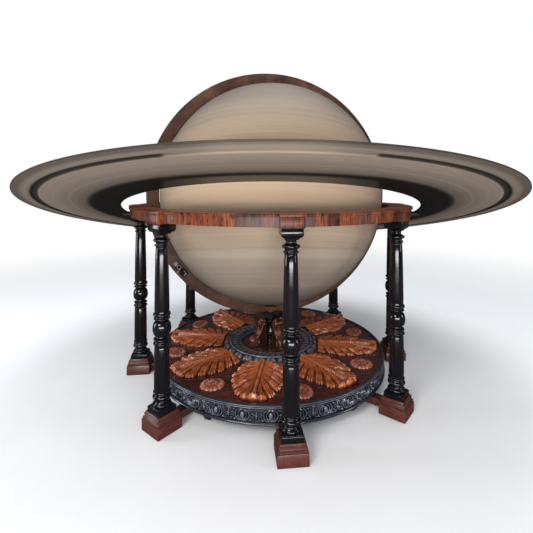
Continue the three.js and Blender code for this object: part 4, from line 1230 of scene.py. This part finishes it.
# ---- casters ----
for i, azimuth in enumerate((-28, 40, 152, 220), 1):
    put = at(azimuth, CASTER_R)
    zw = WHEEL_Z
    m = Mesh()
    o = put(np.zeros((1, 3)))[0]
    topz = BOARD_Z0 - 0.3
    lathe(m, profile((0.01, topz), (19, topz), (19, topz - 3.6), (17.5, topz - 5), (11, topz - 5.4), (9, topz - 8, -0.4), (9, CROWN - 2), (0.01, CROWN - 2))[::-1], 40, centre=o)
    # the fork is one bent strap: down, across and down
    for y, s in ((-17, -1), (17, 1)):
        pts = []
        for zz, x in ((19, 5.5), (21, 9), (26, 12.5), (34, 14.5), (48, 15), (CROWN - 3, 15)):
            pts.append((x, zz))
        left = [(-x, zz) for x, zz in pts]
        loop = np.array(pts + left[::-1])
        c0 = loop.mean(0)
        rows = []
        for yy, k in ((y, 0.0), (y, 0.95), (y - s * 0.7, 1.0), (y - s * 3.8, 1.0), (y - s * 4.5, 0.95), (y - s * 4.5, 0.0)):
            p = c0 + (loop - c0) * k
            rows.append(np.stack([p[:, 0], np.full(len(p), yy), p[:, 1]], 1))
        m.add(put(np.array(rows).reshape(-1, 3)), [grid_faces(6, len(loop), cv=True, flip=s > 0)])
        for side in (1,):
            a2 = np.arange(20) / 20 * 2 * math.pi
            pr = np.array([(6.6, 0), (6.6, 1.8), (5.2, 3.0), (0.01, 3.3)])
            V = np.stack([np.cos(a2)[:, None] * pr[:, 0], np.broadcast_to(y + s * pr[:, 1], (20, 4)), zw + np.sin(a2)[:, None] * pr[:, 0]], 2)
            m.add(put(V.reshape(-1, 3)), [grid_faces(20, 4, cu=True, flip=s < 0)])
    rounded_box(m, -15, 15, -17, 17, CROWN - 5, CROWN, 1.6, place=put)
    tube(m, np.array([[0, -14, zw], [0, 0, zw], [0, 14, zw]]), 4.4, 16, place=put)
    piece(m.make(f"caster_fork_strap_{i}", M["brass"], 35), f"caster_{i}", "brass", f"caster_fork_{i}")
    m = Mesh()
    R = WHEEL_R
    sec = profile((4.9, -11), (9, -11), (10, -9.4), (R - 9, -8.0), (R - 8, -9.4), (R - 3, -9.6), (R, 0, 0.55), (R - 3, 9.6, 0.55), (R - 8, 9.4), (R - 9, 8.0), (10, 9.4), (9, 11), (4.9, 11))
    a2 = np.arange(64) / 64 * 2 * math.pi
    V = np.stack([np.cos(a2)[:, None] * sec[:, 0], np.broadcast_to(sec[:, 1], (64, len(sec))), zw + np.sin(a2)[:, None] * sec[:, 0]], 2)
    m.add(put(V.reshape(-1, 3)), [grid_faces(64, len(sec), cu=True, cv=True, flip=True)])
    piece(m.make(f"caster_tread_{i}", M["wheel"], 40), f"wheel_{i}", "caster_wheel", f"caster_wheel_{i}")

# ---- CAD metal pieces keep their shape and get their finish ----
for n_, key in (("pole_bracket_top", "brass"), ("pole_bracket_bottom", "brass"), ("ring_bracket_right", "iron"), ("ring_bracket_left", "iron"), ("polar_axle", "steel")):
    o = NODES[n_]
    o.data.materials.clear()
    o.data.materials.append(M[key])

# ---- floor, backdrop, light, camera ----
BACK = 1.0


def floor_mat():
    k = Nodes("pale_floor")
    co = k.coord()
    n = k.noise(co, 3, 4, 0.6)
    k.set(Base_Color=k.mix(k.map(n, 0.3, 0.7), (0.86, 0.86, 0.87), (0.89, 0.89, 0.89)), Roughness=0.75, Specular_IOR_Level=0.2)
    # far out the floor turns into the plain background, so there is no horizon line
    e = k.t.nodes.new("ShaderNodeEmission")
    e.inputs[0].default_value = (BACK, BACK, BACK, 1)
    sep = k.t.nodes.new("ShaderNodeSeparateXYZ")
    k.put(sep.inputs[0], co)
    d = k.math("SQRT", k.math("ADD", k.math("MULTIPLY", sep.outputs[0], sep.outputs[0]), k.math("MULTIPLY", sep.outputs[1], sep.outputs[1])))
    mx = k.t.nodes.new("ShaderNodeMixShader")
    k.put(mx.inputs[0], k.map(d, 1.5, 4.5, 0.0, 1.0, True))
    # reflections and bounced light see a darker floor, as on a dark room floor
    lp_ = k.t.nodes.new("ShaderNodeLightPath")
    dk = k.t.nodes.new("ShaderNodeBsdfDiffuse")
    k.put(dk.inputs[0], k.mix(lp_.outputs["Is Diffuse Ray"], (0.13, 0.11, 0.10), (0.62, 0.60, 0.58)))
    m1 = k.t.nodes.new("ShaderNodeMixShader")
    k.t.links.new(lp_.outputs["Is Camera Ray"], m1.inputs[0])
    k.t.links.new(dk.outputs[0], m1.inputs[1])
    k.t.links.new(mx.outputs[0], m1.inputs[2])
    k.t.links.new(k.p.outputs[0], mx.inputs[1])
    k.t.links.new(e.outputs[0], mx.inputs[2])
    k.t.links.new(m1.outputs[0], k.out.inputs[0])
    return k.m


a = np.arange(96) / 96 * 2 * math.pi
radii = np.array([0.01, 1.0, 2.0, 4.0, 8.0, 40.0]) * 1000
fm = Mesh()
fm.add(np.stack([np.cos(a)[:, None] * radii, np.sin(a)[:, None] * radii, np.full((96, 6), -1.0)], 2), [grid_faces(96, 6, cu=True, flip=True)])
floor = fm.make("floor", floor_mat(), 180)

scene = bpy.context.scene
scene.view_settings.view_transform = "Standard"
world = bpy.data.worlds.new("studio")
scene.world = world
world.use_nodes = True
wt = world.node_tree
wt.nodes.clear()
wo = wt.nodes.new("ShaderNodeOutputWorld")
lp = wt.nodes.new("ShaderNodeLightPath")
b0, b1 = wt.nodes.new("ShaderNodeBackground"), wt.nodes.new("ShaderNodeBackground")
b0.inputs[0].default_value = (0.90, 0.94, 1.0, 1)
b0.inputs[1].default_value = 0.62
b1.inputs[0].default_value = (BACK, BACK, BACK, 1)
b1.inputs[1].default_value = 1.0
b2_ = wt.nodes.new("ShaderNodeBackground")
b2_.inputs[0].default_value = (0.80, 0.88, 1.0, 1)
b2_.inputs[1].default_value = 0.05
mxg = wt.nodes.new("ShaderNodeMixShader")
wt.links.new(lp.outputs["Is Glossy Ray"], mxg.inputs[0])
wt.links.new(b0.outputs[0], mxg.inputs[1])
wt.links.new(b2_.outputs[0], mxg.inputs[2])
mxs = wt.nodes.new("ShaderNodeMixShader")
wt.links.new(lp.outputs["Is Camera Ray"], mxs.inputs[0])
wt.links.new(mxg.outputs[0], mxs.inputs[1])
wt.links.new(b1.outputs[0], mxs.inputs[2])
wt.links.new(mxs.outputs[0], wo.inputs[0])


def area(name, loc, target, size, power, colour=(1, 1, 1)):
    d = bpy.data.lights.new(name, "AREA")
    d.shape = "RECTANGLE"
    d.size, d.size_y = size
    d.energy = power
    d.color = colour
    o = bpy.data.objects.new(name, d)
    scene.collection.objects.link(o)
    o.location = loc
    o.rotation_euler = (Vector(target) - Vector(loc)).to_track_quat("-Z", "Y").to_euler()
    return o


area("key", (-1.7, -3.3, 2.7), (0, 0, 0.8), (1.4, 1.4), 82, (1.0, 0.985, 0.96))
area("side_left", (-3.0, -0.6, 1.0), (0, 0, 0.4), (0.6, 1.6), 26, (0.86, 0.93, 1.0))
area("side_right", (3.2, -1.4, 1.3), (0, 0, 0.5), (0.6, 1.6), 18, (0.92, 0.96, 1.0))
area("top", (0.3, 0.4, 3.6), (0, 0, 0.3), (2.4, 2.4), 60, (1.0, 1.0, 1.0))
area("low_front", (0.1, -3.0, 0.45), (0, -0.7, 0.9), (2.6, 0.5), 58, (0.98, 0.98, 1.0))

cam_data = bpy.data.cameras.new("camera")
cam = bpy.data.objects.new("camera", cam_data)
scene.collection.objects.link(cam)
CAM_Y, CAM_Z = -1.870, GLOBE_Z / 1000 + 0.033
cam.location = (0.0, CAM_Y, CAM_Z)
cam.rotation_euler = (math.radians(90), 0, 0)
cam_data.sensor_width = 36
cam_data.lens = 361.6 * 36 / 533
cam_data.clip_start, cam_data.clip_end = 0.05, 100
# the lens is shifted only where this camera stands: any other view of the scene looks straight ahead
for path, shift in (("shift_x", -4.3 / 533), ("shift_y", -79.5 / 533)):
    drv = cam_data.driver_add(path).driver
    drv.type = "SCRIPTED"
    for nm, axis in (("y", "LOC_Y"), ("z", "LOC_Z")):
        v = drv.variables.new()
        v.name = nm
        v.type = "TRANSFORMS"
        v.targets[0].id = cam
        v.targets[0].transform_type = axis
        v.targets[0].transform_space = "WORLD_SPACE"
    drv.expression = f"{shift:.6f} if abs(y - {CAM_Y:.4f}) + abs(z - {CAM_Z:.4f}) < 0.001 else 0.0"
scene.camera = cam
bpy.context.view_layer.update()
